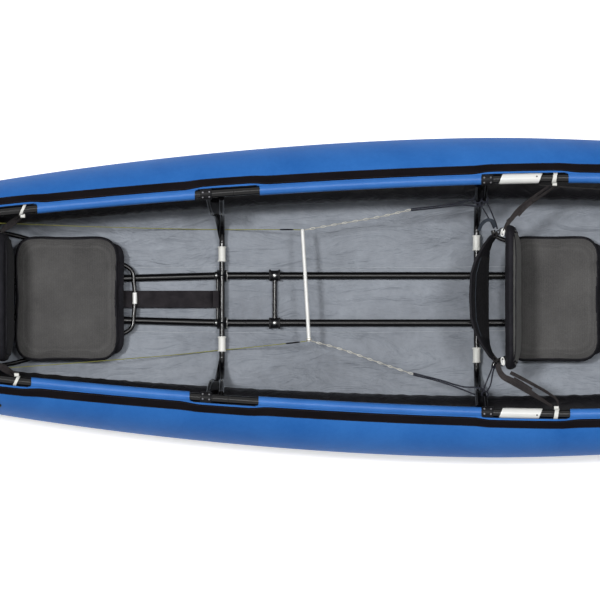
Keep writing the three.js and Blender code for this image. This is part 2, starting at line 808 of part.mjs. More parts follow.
// The head turns on the pintle and carries the steering arm and the cheeks of the blade
function addRudderHead() {
  const height = headTop - headBottom;
  const barrel = ring(headBore, headRadius, height).translate(pintleX, 0, headBottom);
  const neckX = pintleX - (headBore + headRadius) / 2 - neckLength / 2;
  const cheekTop = bladePivotHeight + cheekRadius;
  const neck = block(neckLength, neckWidth, cheekTop - headBottom, neckX, 0, (cheekTop + headBottom) / 2);
  const armHeight = steeringArmBottom + steeringArmThickness / 2;
  const arm = block(neckLength, 2 * steeringArm, steeringArmThickness, neckX, 0, armHeight);
  const cheekSpan = neckX - bladePivotX;
  const cheekY = bladeThickness / 2 + cheekGap;
  const cheeks = [1, -1].map((side) => (
    block(cheekSpan + cheekRadius, cheekThickness, 2 * cheekRadius,
      (neckX + bladePivotX - cheekRadius) / 2, side * (cheekY + cheekThickness / 2), bladePivotHeight)
  ));
  const slotHeight = 2 * cheekRadius + bladeNeckHalfWidth;
  const slotMiddle = bladePivotHeight + bladeNeckHalfWidth / 2;
  const slot = block(neckLength * 2, 2 * cheekY, slotHeight, neckX, 0, slotMiddle);
  addPart('rudder_head', cut(join(barrel, neck, arm, ...cheeks), slot), 'blackPlastic');
}

// The blade lies parked over the aft deck: a narrow neck at the pivot, then the full chord
function addRudderBlade() {
  const x = bladePivotX;
  const z = bladePivotHeight;
  const top = z + bladeNeckHalfWidth;
  const tip = x + bladeLength;
  const outline = new THREE.Shape();
  outline.moveTo(x + bladeNeckLength, z - bladeNeckHalfWidth);
  outline.lineTo(x + bladeNeckLength + bladeNeckHalfWidth, z - bladeDrop);
  outline.lineTo(tip - bladeTipRadius, z - bladeDrop);
  outline.absarc(tip - bladeTipRadius, z - bladeDrop + bladeTipRadius, bladeTipRadius, -quarter, 0, false);
  outline.lineTo(tip, top - bladeTipRadius);
  outline.absarc(tip - bladeTipRadius, top - bladeTipRadius, bladeTipRadius, 0, quarter, false);
  outline.lineTo(x, top);
  outline.absarc(x, z, bladeNeckHalfWidth, quarter, 3 * quarter, false);
  const options = { depth: bladeThickness, bevelEnabled: false, curveSegments: 5 };
  const blade = new THREE.ExtrudeGeometry(outline, options);
  addPart('rudder_blade', blade.rotateX(quarter).translate(0, bladeThickness / 2, 0), 'silver');
}

function addFootBar() {
  const bar = new THREE.CylinderGeometry(footBarRadius, footBarRadius, 2 * footBarHalfLength, ringSides);
  const mesh = addPart('foot_bar', bar, 'white');
  mesh.position.set(footBarX, footBarY, footBarHeight);
  mesh.rotation.z = radians(footBarSlant);
}

// Routes of the cords, from the foot bar outwards; their points are chosen by hand
const portLine = [
  [-525.3, 183.7, 120], [-560, 185, 104], [-610, 186, 76], [-660, 187, 49], [-700, 187.5, 31],
  [-737, 188, 23.6], [-775, 188.5, 24.5], [-830, 189, 31], [-900, 190, 45], [-1000, 191.5, 75],
  [-1100, 193, 111], [-1200, 195, 155], [-1300, 197, 205], [-1380, 198, 243], [-1470, 194, 269],
  [-1600, 180, 283], [-1750, 158, 294], [-1900, 132, 304], [-2050, 104, 316], [-2200, 66, 333],
  [-2290, 37, 352], [-2340, 26, 365.5], [-2362, 33, 370.5], [-2385, 46, 373.3], [-2420, 62, 376],
  [-2469, 71.4, 377.5],
];
const starboardLine = [
  [-507.5, -115.7, 120], [-545, -120, 104], [-600, -125, 77], [-655, -130, 49], [-700, -134, 26],
  [-737, -137, 18.5], [-775, -141, 20], [-830, -147, 29], [-900, -154, 45], [-1000, -163, 75],
  [-1100, -172, 111], [-1200, -181, 155], [-1300, -189, 205], [-1380, -193, 243],
  [-1470, -192, 269], [-1600, -180, 283], [-1750, -158, 294], [-1900, -132, 304],
  [-2050, -104, 316], [-2200, -66, 333], [-2290, -37, 352], [-2340, -26, 365.5],
  [-2362, -33, 370.5], [-2385, -46, 373.3], [-2420, -62, 376], [-2469, -71.4, 377.5],
];
const portChain = [[-514.2, 183.7, 120], [-416.6, 200, 134], [-310.5, 218, 152], [-229, 236, 169]];
const starboardChain = [[-495.9, -115.7, 120], [-416, -138, 136], [-310.5, -176, 156], [-223, -206, 171]];
// Each bungee is looped round the middle rib's arm just above its upper bend
const loopHeight = armHighHeight + ribRadius * 2;
const portBungee = [
  [-228, 233.8, 169], [-150, 239, 190], [-90, 243.5, loopHeight - 13], [-56, 242, loopHeight - 4],
  [-40, 246, loopHeight - 1], [-34, 254.6, loopHeight - 0.5], [-40, 263.2, loopHeight - 1],
  [-56, 267.2, loopHeight - 4], [-90, 258, loopHeight - 13], [-150, 248.5, 190], [-228, 238.2, 169],
];
const starboardBungee = [
  [-221.9, -203.8, 171], [-150, -220, 190], [-90, -237, loopHeight - 13], [-56, -242, loopHeight - 4],
  [-40, -246, loopHeight - 1], [-34, -254.6, loopHeight - 0.5], [-40, -263.2, loopHeight - 1],
  [-56, -267.2, loopHeight - 4], [-90, -251, loopHeight - 13], [-150, -229.5, 190],
  [-221.9, -208.2, 171],
];

function cord(points, radius, steps, sides) {
  return tube(points.map((p) => new THREE.Vector3(...p)), radius, steps, sides);
}

function addSteering() {
  addFootBar();
  addPart('port_rudder_line', cord(portLine, lineRadius, 44, 8), 'olive');
  addPart('starboard_rudder_line', cord(starboardLine, lineRadius, 44, 8), 'olive');
  addPart('port_chain', cord(portChain, chainRadius, 6, 8), 'silver');
  addPart('starboard_chain', cord(starboardChain, chainRadius, 6, 8), 'silver');
  addPart('port_steering_bungee', cord(portBungee, bungeeRadius, 26, 8), 'blackFabric');
  addPart('starboard_steering_bungee', cord(starboardBungee, bungeeRadius, 26, 8), 'blackFabric');
}

// A point of a rounded rectangle with its sides drawn in between the corners
function cushionOutline(halfLength, halfWidth, turn) {
  const corner = Math.min(seatCornerRadius, halfLength, halfWidth);
  const dx = Math.cos(turn);
  const dy = Math.sin(turn);
  const power = seatOutlinePower;
  const reach = Math.pow(Math.abs(dx / halfLength) ** power + Math.abs(dy / halfWidth) ** power, -1 / power);
  const side = Math.cos(2 * turn) ** 2;
  const drawn = seatDrawIn * side * Math.min(1, corner / seatCornerRadius);
  return new THREE.Vector2(dx * (reach - drawn), dy * (reach - drawn));
}

// Shares of the outline's size and of the cushion's height, from its underside to its crown
const cushionShares = [[0.45, 0], [0.92, 0], [1, 0.22], [0.972, 0.5], [1, 0.78], [0.93, 1]];
const crownShares = [[0.72, 0.55], [0.42, 0.9]];

function cushion(x, length, width, bottom) {
  const count = 28;
  const layers = [
    ...cushionShares.map(([size, height]) => [size, bottom + height * seatThickness]),
    ...crownShares.map(([size, height]) => [size, bottom + seatThickness + height * seatCrown]),
  ];
  const points = [new THREE.Vector3(x, 0, bottom)];
  for (const [size, z] of layers) {
    for (let i = 0; i < count; i += 1) {
      const p = cushionOutline(length / 2, width / 2, (2 * Math.PI * i) / count);
      points.push(new THREE.Vector3(x + p.x * size, p.y * size, z));
    }
  }
  points.push(new THREE.Vector3(x, 0, bottom + seatThickness + seatCrown));
  const index = [];
  const top = points.length - 1;
  for (let i = 0; i < count; i += 1) {
    const next = (i + 1) % count;
    index.push(0, 1 + next, 1 + i);
    for (let layer = 0; layer + 1 < layers.length; layer += 1) {
      const low = 1 + layer * count;
      const high = low + count;
      index.push(low + i, low + next, high + i, low + next, high + next, high + i);
    }
    const last = 1 + (layers.length - 1) * count;
    index.push(last + i, last + next, top);
  }
  const geometry = new THREE.BufferGeometry().setFromPoints(points);
  geometry.setIndex(index);
  return facingOut(geometry);
}

// The frame lies on the keelsons where its front bar crosses them
function seatFrameHeight(x, length) {
  const keelson = onStations(keelsonHeightAt, x + length / 2 + seatFrameFrontReach);
  return keelson + (keelsonRadius + seatFrameRadius) * flatShare + fitGap;
}

// Its legs stand on the floor, or level with the front bar where the floor is lower
function seatLegHeight(x, length, legX, y) {
  const onFloor = floorHeightAt(legX, y + seatFrameRadius) + seatFrameRadius + skinWall;
  return Math.max(seatFrameHeight(x, length), onFloor);
}

function seatBottom(x, length) {
  const leg = seatLegHeight(x, length, x - length / 2, seatFrameRearHalfWidth);
  const rest = THREE.MathUtils.lerp(seatFrameHeight(x, length), leg, seatRestShare);
  return rest + seatFrameRadius * flatShare + fitGap;
}

// A bent tube loop under the cushion; its front bar passes over the seat strap and its legs run aft
function seatFrame(x, length, legReach) {
  const front = x + length / 2 + seatFrameFrontReach;
  const rear = x - length / 2;
  const foot = rear - legReach;
  const height = seatFrameHeight(x, length);
  const port = [
    [front, 0, height],
    [front - seatFrameRadius / 2, seatFrameFrontHalfWidth / 2, height],
    [front - 2 * seatFrameRadius, seatFrameFrontHalfWidth, height],
    [x, (seatFrameFrontHalfWidth + seatFrameRearHalfWidth) / 2, height],
    [rear, seatFrameRearHalfWidth, seatLegHeight(x, length, rear, seatFrameRearHalfWidth)],
    [foot, seatFrameLegHalfWidth, seatLegHeight(x, length, foot, seatFrameLegHalfWidth)],
  ].map((p) => new THREE.Vector3(...p));
  return tube([...mirrored(port).reverse(), ...port.slice(1)], seatFrameRadius, 18);
}

// A closed band of even thickness along a line in the XZ plane, as wide as the strap
function bandAlong(points, thickness, width) {
  const sides = [1, -1].map((sign) => points.map((p, i) => {
    const before = points[Math.max(0, i - 1)];
    const after = points[Math.min(points.length - 1, i + 1)];
    const normal = new THREE.Vector2(before.y - after.y, after.x - before.x).normalize();
    return p.clone().addScaledVector(normal, (sign * thickness) / 2);
  }));
  const outline = new THREE.Shape([...sides[0], ...sides[1].reverse()]);
  const band = new THREE.ExtrudeGeometry(outline, { depth: width, bevelEnabled: false });
  return band.rotateX(quarter).translate(0, width / 2, 0);
}

// Webbing from under the cushion, below the frame's front bar, and round the rib's tie bar
function seatStrap(x, length, ribX) {
  const start = x + length / 2 - seatFrameFrontReach;
  const hoopX = x + length / 2 + seatFrameFrontReach;
  const tieX = ribX - tieBarOffset;
  const tieZ = ribHeightAt(ribX) - tieBarDrop;
  const loop = tieBarRadius + 2 * fitGap + strapThickness / 2;
  const underCushion = seatBottom(x, length) - fitGap - strapThickness / 2;
  const underFrame = seatFrameHeight(x, length) - seatFrameRadius - 2 * fitGap - strapThickness / 2;
  const points = [
    new THREE.Vector2(start, underCushion),
    new THREE.Vector2(start + 2 * strapThickness, underCushion),
    new THREE.Vector2(hoopX - seatFrameFrontReach / 2, underFrame + strapThickness),
    new THREE.Vector2(hoopX, underFrame),
    new THREE.Vector2(tieX - 4 * loop, underFrame),
    new THREE.Vector2(tieX - 2 * loop, tieZ - loop),
    ...spread(6, -quarter, quarter).map((turn) => (
      new THREE.Vector2(tieX + loop * Math.cos(turn), tieZ + loop * Math.sin(turn))
    )),
    new THREE.Vector2(tieX - 2 * loop, tieZ + loop),
  ];
  return bandAlong(points, strapThickness, strapWidth);
}

// The pad's sections stand across the boat; they sweep aft towards the middle and round off at both ends
const padEndShares = [
  [-1, 0.45], [-0.9, 0.8], [-0.62, 1], [-0.3, 1], [0, 1], [0.3, 1], [0.62, 1], [0.9, 0.8], [1, 0.45],
];
const padSectionShares = [
  [-0.3, 0], [0.3, 0], [0.5, 0.14], [0.5, 0.86], [0.3, 1], [-0.3, 1], [-0.5, 0.86], [-0.5, 0.14],
];

function backrestPad(x, halfWidth) {
  const rings = padEndShares.map(([across, size]) => {
    const centreX = x - backSweep * (1 - across ** 2);
    const middle = backBottom + backHeight / 2;
    return padSectionShares.map(([thick, high]) => new THREE.Vector3(
      centreX + thick * backThickness * Math.sqrt(size),
      across * halfWidth,
      middle + (high - 1 / 2) * backHeight * size,
    ));
  });
  return acrossBody(rings);
}

// A reclined panel behind the pad, hollow towards it, with a tab at each end that is fixed to the pad
function backrestShell(x, halfWidth) {
  const padRear = x - backSweep - backThickness / 2;
  const front = padRear - shellGap;
  const reach = halfWidth - shellInset;
  const rings = spread(8, -1, 1).map((across) => {
    const bulge = shellBulge * (1 - across ** 2);
    const low = THREE.MathUtils.lerp(shellBottom, shellTop, across ** 2 / 4);
    const high = THREE.MathUtils.lerp(shellTop, shellBottom, across ** 2 / 4);
    return [[0, 0, low], [0, bulge, high], [1, bulge, high], [1, 0, low]].map(([back, lean, z]) => (
      new THREE.Vector3(front - lean - back * shellThickness, across * reach, z)
    ));
  });
  const tabLength = shellGap + shellThickness / 2;
  const tabX = x - backThickness / 2 - 3 * fitGap - tabLength / 2;
  const tabZ = (shellBottom + shellTop) / 2;
  const tabs = [1, -1].map((side) => (
    block(tabLength, tabWidth, tabThickness, tabX, side * (reach - tabWidth / 2), tabZ)
  ));
  return join(acrossBody(rings), ...tabs);
}

// A closed body through sections that stand across the boat, at rising Y
function acrossBody(rings) {
  const turned = rings.map((points) => points.map((p) => new THREE.Vector3(p.y, -p.x, p.z)));
  return loft(turned).rotateZ(quarter);
}

// A flat strap from the backrest's end to a clip round the gunwale
function backStrap(from, clipX, side) {
  const outward = side === 'port' ? 1 : -1;
  const start = clipX - clipLength / 2;
  const clip = gunwaleRing(start, start + clipLength, sleeveInnerRadius, clipRadius, side);
  const end = towardGunwale(clipX, (sleeveInnerRadius + clipRadius) / 2, 0);
  end.y *= outward;
  const along = end.clone().sub(from);
  const normal = new THREE.Vector2(along.y, -along.x).normalize().multiplyScalar(backStrapThickness / 2);
  const rings = [from, end].map((middle) => [[-1, -1], [1, -1], [1, 1], [-1, 1]].map(([thick, high]) => (
    new THREE.Vector3(middle.x + thick * normal.x, middle.y, middle.z + (high * backStrapWidth) / 2)
  )));
  const band = acrossBody(rings);
  const bore = gunwaleTube(start - clipLength, start + 2 * clipLength, sleeveInnerRadius, side);
  return cut(join(clip, band), bore);
}

function addSeat(name, { seatX, length, width, legReach, backX, backHalfWidth, ribX, clips }) {
  addPart(`${name}_seat_cushion`, cushion(seatX, length, width, seatBottom(seatX, length)), 'mesh');
  addPart(`${name}_seat_frame`, seatFrame(seatX, length, legReach), 'blackTube');
  addPart(`${name}_seat_strap`, seatStrap(seatX, length, ribX), 'blackFabric');
  addPart(`${name}_backrest_pad`, backrestPad(backX, backHalfWidth), 'blackFabric');
  addPart(`${name}_backrest_shell`, backrestShell(backX, backHalfWidth), 'blackFabric');
  for (const side of ['port', 'starboard']) {
    const y = (backHalfWidth + fitGap) * (side === 'port' ? 1 : -1);
    const from = new THREE.Vector3(backX, y, backBottom + backHeight * strapStartShare);
    addPart(`${name}_${side}_back_strap`, backStrap(from, clips[side], side), 'blackFabric');
  }
}

function addSeats() {
  addSeat('rear', {
    seatX: rearSeatX,
    length: rearSeatLength,
    width: rearSeatWidth,
    legReach: rearSeatLegReach,
    backX: rearBackX,
    backHalfWidth: rearBackHalfWidth,
    ribX: ribAftX,
    clips: { port: rearPortClipX, starboard: rearStarboardClipX },
  });
  addSeat('front', {
    seatX: frontSeatX,
    length: frontSeatLength,
    width: frontSeatWidth,
    legReach: frontSeatLegReach,
    backX: frontBackX,
    backHalfWidth: frontBackHalfWidth,
    ribX: ribForeX,
    clips: { port: frontPortClipX, starboard: frontStarboardClipX },
  });
}

addSkin();
addDecks();
addSponsons();
addGunwales();
addKeelsons();
addCrossbar();
addRibs();
addHoops();
addStems();
addRudderHead();
addRudderBlade();
addSteering();
addSeats();

export default kayak;
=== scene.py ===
# %% [markdown]
# The boat is a two-seat folding kayak. A sewn fabric skin is stretched over a frame of tubes, which three
# hinged ribs spread apart. Its solids were measured first, and they are loaded here as a frame: each piece
# below is made in the same metres and the same place, and most ride on one of the frame's bodies, so that they
# follow the joints.

# %% Load the measured boat
from math import cos, pi, radians, sin

import bpy
import numpy as np
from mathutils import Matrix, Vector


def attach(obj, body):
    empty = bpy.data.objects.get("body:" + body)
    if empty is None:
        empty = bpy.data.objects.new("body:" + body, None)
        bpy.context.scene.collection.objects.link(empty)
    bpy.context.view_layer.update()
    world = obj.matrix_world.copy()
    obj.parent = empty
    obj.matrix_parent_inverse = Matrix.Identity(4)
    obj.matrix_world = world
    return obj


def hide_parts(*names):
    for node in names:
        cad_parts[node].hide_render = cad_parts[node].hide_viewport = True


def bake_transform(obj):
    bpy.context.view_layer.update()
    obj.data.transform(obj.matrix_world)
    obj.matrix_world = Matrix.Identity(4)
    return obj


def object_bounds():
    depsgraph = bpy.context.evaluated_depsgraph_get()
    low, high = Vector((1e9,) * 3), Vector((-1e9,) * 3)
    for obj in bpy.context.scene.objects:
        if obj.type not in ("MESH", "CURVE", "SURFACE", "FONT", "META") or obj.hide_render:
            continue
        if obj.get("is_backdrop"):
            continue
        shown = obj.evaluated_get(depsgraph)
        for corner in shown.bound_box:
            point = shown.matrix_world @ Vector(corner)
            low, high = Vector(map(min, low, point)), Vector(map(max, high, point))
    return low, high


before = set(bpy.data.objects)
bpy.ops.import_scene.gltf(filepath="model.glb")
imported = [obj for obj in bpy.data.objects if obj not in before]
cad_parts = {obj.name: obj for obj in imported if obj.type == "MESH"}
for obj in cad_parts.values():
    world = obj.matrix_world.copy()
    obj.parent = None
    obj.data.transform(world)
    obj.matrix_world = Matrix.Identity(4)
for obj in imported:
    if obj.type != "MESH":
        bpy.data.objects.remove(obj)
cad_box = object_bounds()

print(len(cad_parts), "solids between", cad_box)

# %% [markdown]
# The photograph looks straight down at the middle of the boat, and things at every height keep
# their scale, so it was taken from far away. A long lens at 30 m shows it that way. The camera
# leans less than two degrees, because the port side's inner face shows and the starboard's doesn't.

# %% Camera
camera_distance = 30
camera_lean = radians(1.85)
view_centre = (-0.5265, -0.002, 0.02)
view_width = 1.62

lens = bpy.data.cameras.new("camera")
lens.sensor_width = 36
lens.lens = lens.sensor_width * camera_distance / view_width
lens.clip_end = 4 * camera_distance
camera = bpy.data.objects.new("camera", lens)
camera.location = (
    view_centre[0],
    view_centre[1] - camera_distance * sin(camera_lean),
    view_centre[2] + camera_distance * cos(camera_lean),
)
camera.rotation_euler = (camera_lean, 0, 0)
bpy.context.scene.collection.objects.link(camera)
bpy.context.scene.camera = camera
bpy.context.scene.view_settings.view_transform = "Standard"
print("lens", round(lens.lens), "mm")

# %% [markdown]
# Every material below is a small network of nodes. The first helper adds one node, sets its plain
# values, and links the sockets that are given as inputs, so that a network reads as a few lines.
# The others are the sums that nearly every network needs.

# %% Nodes with their settings and links
def add_node(tree, kind, inputs=None, **settings):
    made = tree.nodes.new(kind)
    for key, value in settings.items():
        setattr(made, key, value)
    for key, value in (inputs or {}).items():
        if isinstance(value, bpy.types.NodeSocket):
            tree.links.new(value, made.inputs[key])
        else:
            made.inputs[key].default_value = value
    return made


def new_material(name):
    material = bpy.data.materials.new(name)
    material.use_nodes = True
    material.node_tree.nodes.clear()
    return material, material.node_tree


def calc(tree, operation, a, b=0.0):
    return add_node(tree, "ShaderNodeMath", {0: a, 1: b}, operation=operation).outputs[0]


def weigh(tree, *layers):
    """The sum of the layers, each a value and its weight."""
    parts = [calc(tree, "MULTIPLY", value, weight) for value, weight in layers]
    total = parts[0]
    for part in parts[1:]:
        total = calc(tree, "ADD", total, part)
    return total


def gap_to(tree, value, at):
    return calc(tree, "ABSOLUTE", calc(tree, "SUBTRACT", value, at))


def remap(tree, value, low, high):
    return add_node(tree, "ShaderNodeMapRange", {"Value": value, "To Min": low, "To Max": high}).outputs[0]

# %% [markdown]
# The boat stands in a studio on a pale floor. Three suns light it. The strongest stands towards the
# stern and a weaker one towards the bow, both a little to port: they draw the bright lines along the
# tubes and make the ribs' soft shadows. A broad faint one stands overhead, and the room gives the
# rest. Together they light a level face with about one unit, so a colour looks as it is written.
# Rays that come straight from the camera, or off something shiny, see a brighter floor and room,
# which makes the background white without more light on the boat.

# %% Light and floor
def seen_directly(tree):
    """1 for rays from the camera, off gloss or through glass, 0 for the rays that light things."""
    rays = add_node(tree, "ShaderNodeLightPath").outputs
    either = calc(tree, "MAXIMUM", rays["Is Camera Ray"], rays["Is Glossy Ray"])
    return calc(tree, "MAXIMUM", either, rays["Is Transmission Ray"])


def add_sun(name, strength, width, lean, turn):
    """A sun: how wide it looks, how far it leans to the bow, and its turn, all in degrees."""
    sun = bpy.data.lights.new(name, "SUN")
    sun.energy = strength
    sun.angle = radians(width)
    lamp = bpy.data.objects.new(name, sun)
    lamp.rotation_euler = (0, radians(lean), radians(turn))
    bpy.context.scene.collection.objects.link(lamp)


add_sun("left_light", 1.75, 8, -20, -18)
add_sun("right_light", 0.85, 9, 18, 20)
add_sun("top_light", 0.5, 14, -5, -4)

world = bpy.data.worlds.new("studio")
bpy.context.scene.world = world
world.use_nodes = True
world.node_tree.nodes.clear()
room_light = 0.11
level = remap(world.node_tree, seen_directly(world.node_tree), room_light, 1)
room = add_node(world.node_tree, "ShaderNodeBackground", {"Color": (1, 1, 1, 1), "Strength": level})
add_node(world.node_tree, "ShaderNodeOutputWorld", {"Surface": room.outputs[0]})

floor_look, tree = new_material("floor")
matte = add_node(tree, "ShaderNodeBsdfDiffuse", {"Color": (0.86, 0.86, 0.86, 1)})
glow_level = 0.55
seen_glow = calc(tree, "MULTIPLY", seen_directly(tree), glow_level)
glow = add_node(tree, "ShaderNodeEmission", {"Strength": seen_glow})
both = add_node(tree, "ShaderNodeAddShader", {0: matte.outputs[0], 1: glow.outputs[0]})
add_node(tree, "ShaderNodeOutputMaterial", {"Surface": both.outputs[0]})
floor_mesh = bpy.data.meshes.new("floor")
floor_reach = 30
floor_corners = floor_reach * np.array([(-1, -1, 0), (1, -1, 0), (1, 1, 0), (-1, 1, 0)])
floor_mesh.from_pydata(floor_corners.tolist(), [], [(0, 1, 2, 3)])
floor_mesh.materials.append(floor_look)
floor = bpy.data.objects.new("floor", floor_mesh)
bpy.context.scene.collection.objects.link(floor)
floor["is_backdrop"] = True
print("floor", 2 * floor_reach, "m wide")

# %% [markdown]
# Nearly everything on the boat is a tube, a strap or a curved wall. A tube could be a curve object
# with a bevel, but the tubes here change their radius, end in caps and carry a length along them
# for their weave, so they are worked out as grids of points with numpy. First come the lines that
# they follow.

# %% Lines in space
def smooth_path(points, count):
    """Even steps along the centripetal Catmull-Rom curve: between two points the curve blends the
    straight lines through its four nearest points, with knots spaced by the root of the distance."""
    p = np.asarray(points, float)
    p = np.vstack([2 * p[0] - p[1], p, 2 * p[-1] - p[-2]])
    a, b, c, d = p[:-3, None], p[1:-2, None], p[2:-1, None], p[3:, None]
    knot = lambda start, end: np.sqrt(np.maximum(np.linalg.norm(end - start, axis=-1), 1e-9))
    t1 = knot(a, b)
    t2 = t1 + knot(b, c)
    t3 = t2 + knot(c, d)
    t = t1 + (t2 - t1) * np.linspace(0, 1, 25)
    def mix(low, high, start, end):
        return ((end - t)[..., None] * low + (t - start)[..., None] * high) / (end - start)[..., None]
    ab, bc, cd = mix(a, b, 0, t1), mix(b, c, t1, t2), mix(c, d, t2, t3)
    curve = mix(mix(ab, bc, 0, t2), mix(bc, cd, t1, t3), t1, t2)
    return even_path(np.vstack([curve[:, :-1].reshape(-1, 3), curve[-1:, -1]]), count)


def even_path(points, count):
    """The same line with evenly spaced points: each coordinate is read at even arc lengths."""
    p = np.asarray(points, float)
    length = np.concatenate([[0], np.cumsum(np.linalg.norm(np.diff(p, axis=0), axis=1))])
    wanted = np.linspace(0, length[-1], count)
    return np.stack([np.interp(wanted, length, p[:, k]) for k in range(3)], axis=1)


def path_length(points):
    return float(np.linalg.norm(np.diff(points, axis=0), axis=1).sum())


def mirror_y(points):
    return np.asarray(points, float) * (1, -1, 1)


def path_frame(path, up=None, side=None):
    """Unit tangent, side and top of each point: side = up x tangent, or fixed, top = tangent x side."""
    tangent = np.gradient(path, axis=0)
    tangent /= np.linalg.norm(tangent, axis=1, keepdims=True)
    side = np.cross(np.broadcast_to(np.asarray(up, float), path.shape), tangent) if side is None else (
        np.broadcast_to(np.asarray(side, float), path.shape))
    side = side / np.linalg.norm(side, axis=1, keepdims=True)
    return tangent, side, np.cross(tangent, side)

# %% [markdown]
# A surface here is a grid of rows and columns. Its faces join neighbouring points, and each face
# corner gets a place in metres along and across the grid, so that a weave or a row of stitches
# follows the piece and keeps its real size. A closed body is turned right side out by its volume,
# which comes out negative when its faces point inwards.

# %% Grids as parts of a mesh
quad_corners = ((0, 0), (0, 1), (1, 1), (1, 0))


def grid_faces(rows, columns, wrap):
    """Quads of a grid, row by row; wrap joins the last column to the first."""
    i, j = np.meshgrid(np.arange(rows - 1), np.arange(columns if wrap else columns - 1), indexing="ij")
    corner = lambda down, right: ((i + down) * columns + (j + right) % columns).ravel()
    return np.stack([corner(*at) for at in quad_corners], axis=1)


def grid_uv(grid, wrap):
    """For each quad corner, the mean length along the rows and across the columns, in metres."""
    closed = np.concatenate([grid, grid[:, :1]], axis=1) if wrap else grid
    along = np.linalg.norm(np.diff(grid, axis=0), axis=2).mean(axis=1)
    across = np.linalg.norm(np.diff(closed, axis=1), axis=2).mean(axis=0)
    along, across = (np.concatenate([[0], np.cumsum(steps)]) for steps in (along, across))
    i, j = np.meshgrid(np.arange(len(along) - 1), np.arange(len(across) - 1), indexing="ij")
    corner = lambda down, right: np.stack([along[(i + down).ravel()], across[(j + right).ravel()]], axis=1)
    return np.stack([corner(*at) for at in quad_corners], axis=1).reshape(-1, 2)


def signed_volume(points, faces):
    """A sixth of the sum, over the triangles of every face, of a . (b x c)."""
    total = 0
    for face in faces:
        corners = points[np.asarray(face)]
        a, rest = corners[..., :1, :], corners[..., 1:, :]
        total += (a * np.cross(rest[..., :-1, :], rest[..., 1:, :])).sum() / 6
    return total


def closed_part(points, faces, uv, finish):
    """A part of a mesh: points, groups of faces with equal corner counts, and a UV per corner."""
    if signed_volume(points, faces) < 0:
        starts = np.cumsum([0] + [face.size for face in faces])
        uv = np.concatenate([
            uv[start:end].reshape(*face.shape, 2)[:, ::-1].reshape(-1, 2)
            for face, start, end in zip(faces, starts[:-1], starts[1:])])
        faces = [face[:, ::-1] for face in faces]
    return {"points": points, "faces": faces, "uv": uv, "finish": finish}


def loft(grid, finish=0):
    """A closed body through rings of points, one ring a row, with a flat cap on its two ends."""
    rows, columns = grid.shape[:2]
    points = grid.reshape(-1, 3)
    first = np.arange(columns)[::-1][None]
    last = np.arange(columns)[None] + (rows - 1) * columns
    cap_uv = [(points[cap[0]] - points[cap[0]].mean(axis=0))[:, 1:] for cap in (first, last)]
    uv = np.concatenate([grid_uv(grid, True), *cap_uv])
    return closed_part(points, [grid_faces(rows, columns, True), first, last], uv, finish)


def wall(outer, inner, wrap=False, finish=0):
    """A closed wall between two grids of the same size, with rims along its open edges."""
    rows, columns = outer.shape[:2]
    points = np.concatenate([outer.reshape(-1, 3), inner.reshape(-1, 3)])
    faces = grid_faces(rows, columns, wrap)
    half = rows * columns
    rings = np.arange(half).reshape(rows, columns)
    edges = [rings[0], rings[-1][::-1]]
    if wrap:
        edges = [np.append(edge, edge[0]) for edge in edges]
    else:
        edges += [rings[::-1, 0], rings[:, -1]]
    rims = np.concatenate([
        np.stack([edge[1:], edge[:-1], edge[:-1] + half, edge[1:] + half], axis=1) for edge in edges])
    uv = grid_uv(outer, wrap)
    thick = np.linalg.norm(outer[0, 0] - inner[0, 0])
    rim_uv = np.tile([(0, 0), (0, thick), (thick, thick), (thick, 0)], (len(rims), 1))
    back = uv.reshape(-1, 4, 2)[:, ::-1].reshape(-1, 2)
    return closed_part(points, [faces, faces[:, ::-1] + half, rims], np.concatenate([uv, back, rim_uv]),
                       finish)


def section_along(path, section, up=None, finish=0, side=None):
    """A closed body: a flat outline (columns across, or one a row) carried along a path. Its first
    number goes along the path's side and its second along its top. The side may be fixed, or be
    given for each point, which twists the body."""
    path = np.asarray(path, float)
    section = np.broadcast_to(section, (len(path), *np.shape(section)[-2:]))
    _, side, top = path_frame(path, up, side)
    grid = path[:, None] + section[..., :1] * side[:, None] + section[..., 1:] * top[:, None]
    return loft(grid, finish)


def tube(path, radius, sides=16, up=(0, 0, 1), finish=0):
    """A round bar: circles of the given radius, one number or one a point, along a path."""
    turn = np.arange(sides) * 2 * pi / sides
    circle = np.stack([np.cos(turn), np.sin(turn)], axis=1)
    radii = np.broadcast_to(radius, (len(path),))[:, None, None]
    return section_along(path, circle * radii, up, finish)


def round_ends(path, radius, steps=4):
    """Adds a few close rows at each end of a path, where the radius falls in a quarter circle."""
    path = np.asarray(path, float)
    share = np.linspace(0, 1, steps + 1)[:-1]
    fall = radius * np.sqrt(np.maximum(0, 1 - (1 - share) ** 2)) + radius * 0.05 * (share == 0)
    start, end = (tip + (after - tip) / np.linalg.norm(after - tip) * radius * share[:, None]
                  for tip, after in ((path[0], path[1]), (path[-1], path[-2])))
    inside = np.minimum(*(np.linalg.norm(path - tip, axis=1) for tip in (path[0], path[-1]))) > radius
    return (np.vstack([start, path[inside], end[::-1]]),
            np.concatenate([fall, np.full(inside.sum(), radius), fall[::-1]]))


def hollow(path, outer, inner, sides=24, up=(0, 0, 1), finish=0):
    """A sleeve: an outer and an inner tube along the same path, joined at both ends."""
    path = np.asarray(path, float)
    _, side, top = path_frame(path, up)
    turn = np.arange(sides) * 2 * pi / sides
    spokes = side[:, None] * np.cos(turn)[:, None] + top[:, None] * np.sin(turn)[:, None]
    outside, inside = (path[:, None] + spokes * np.broadcast_to(r, (len(path),))[:, None, None]
                       for r in (outer, inner))
    return wall(outside, inside, wrap=True, finish=finish)


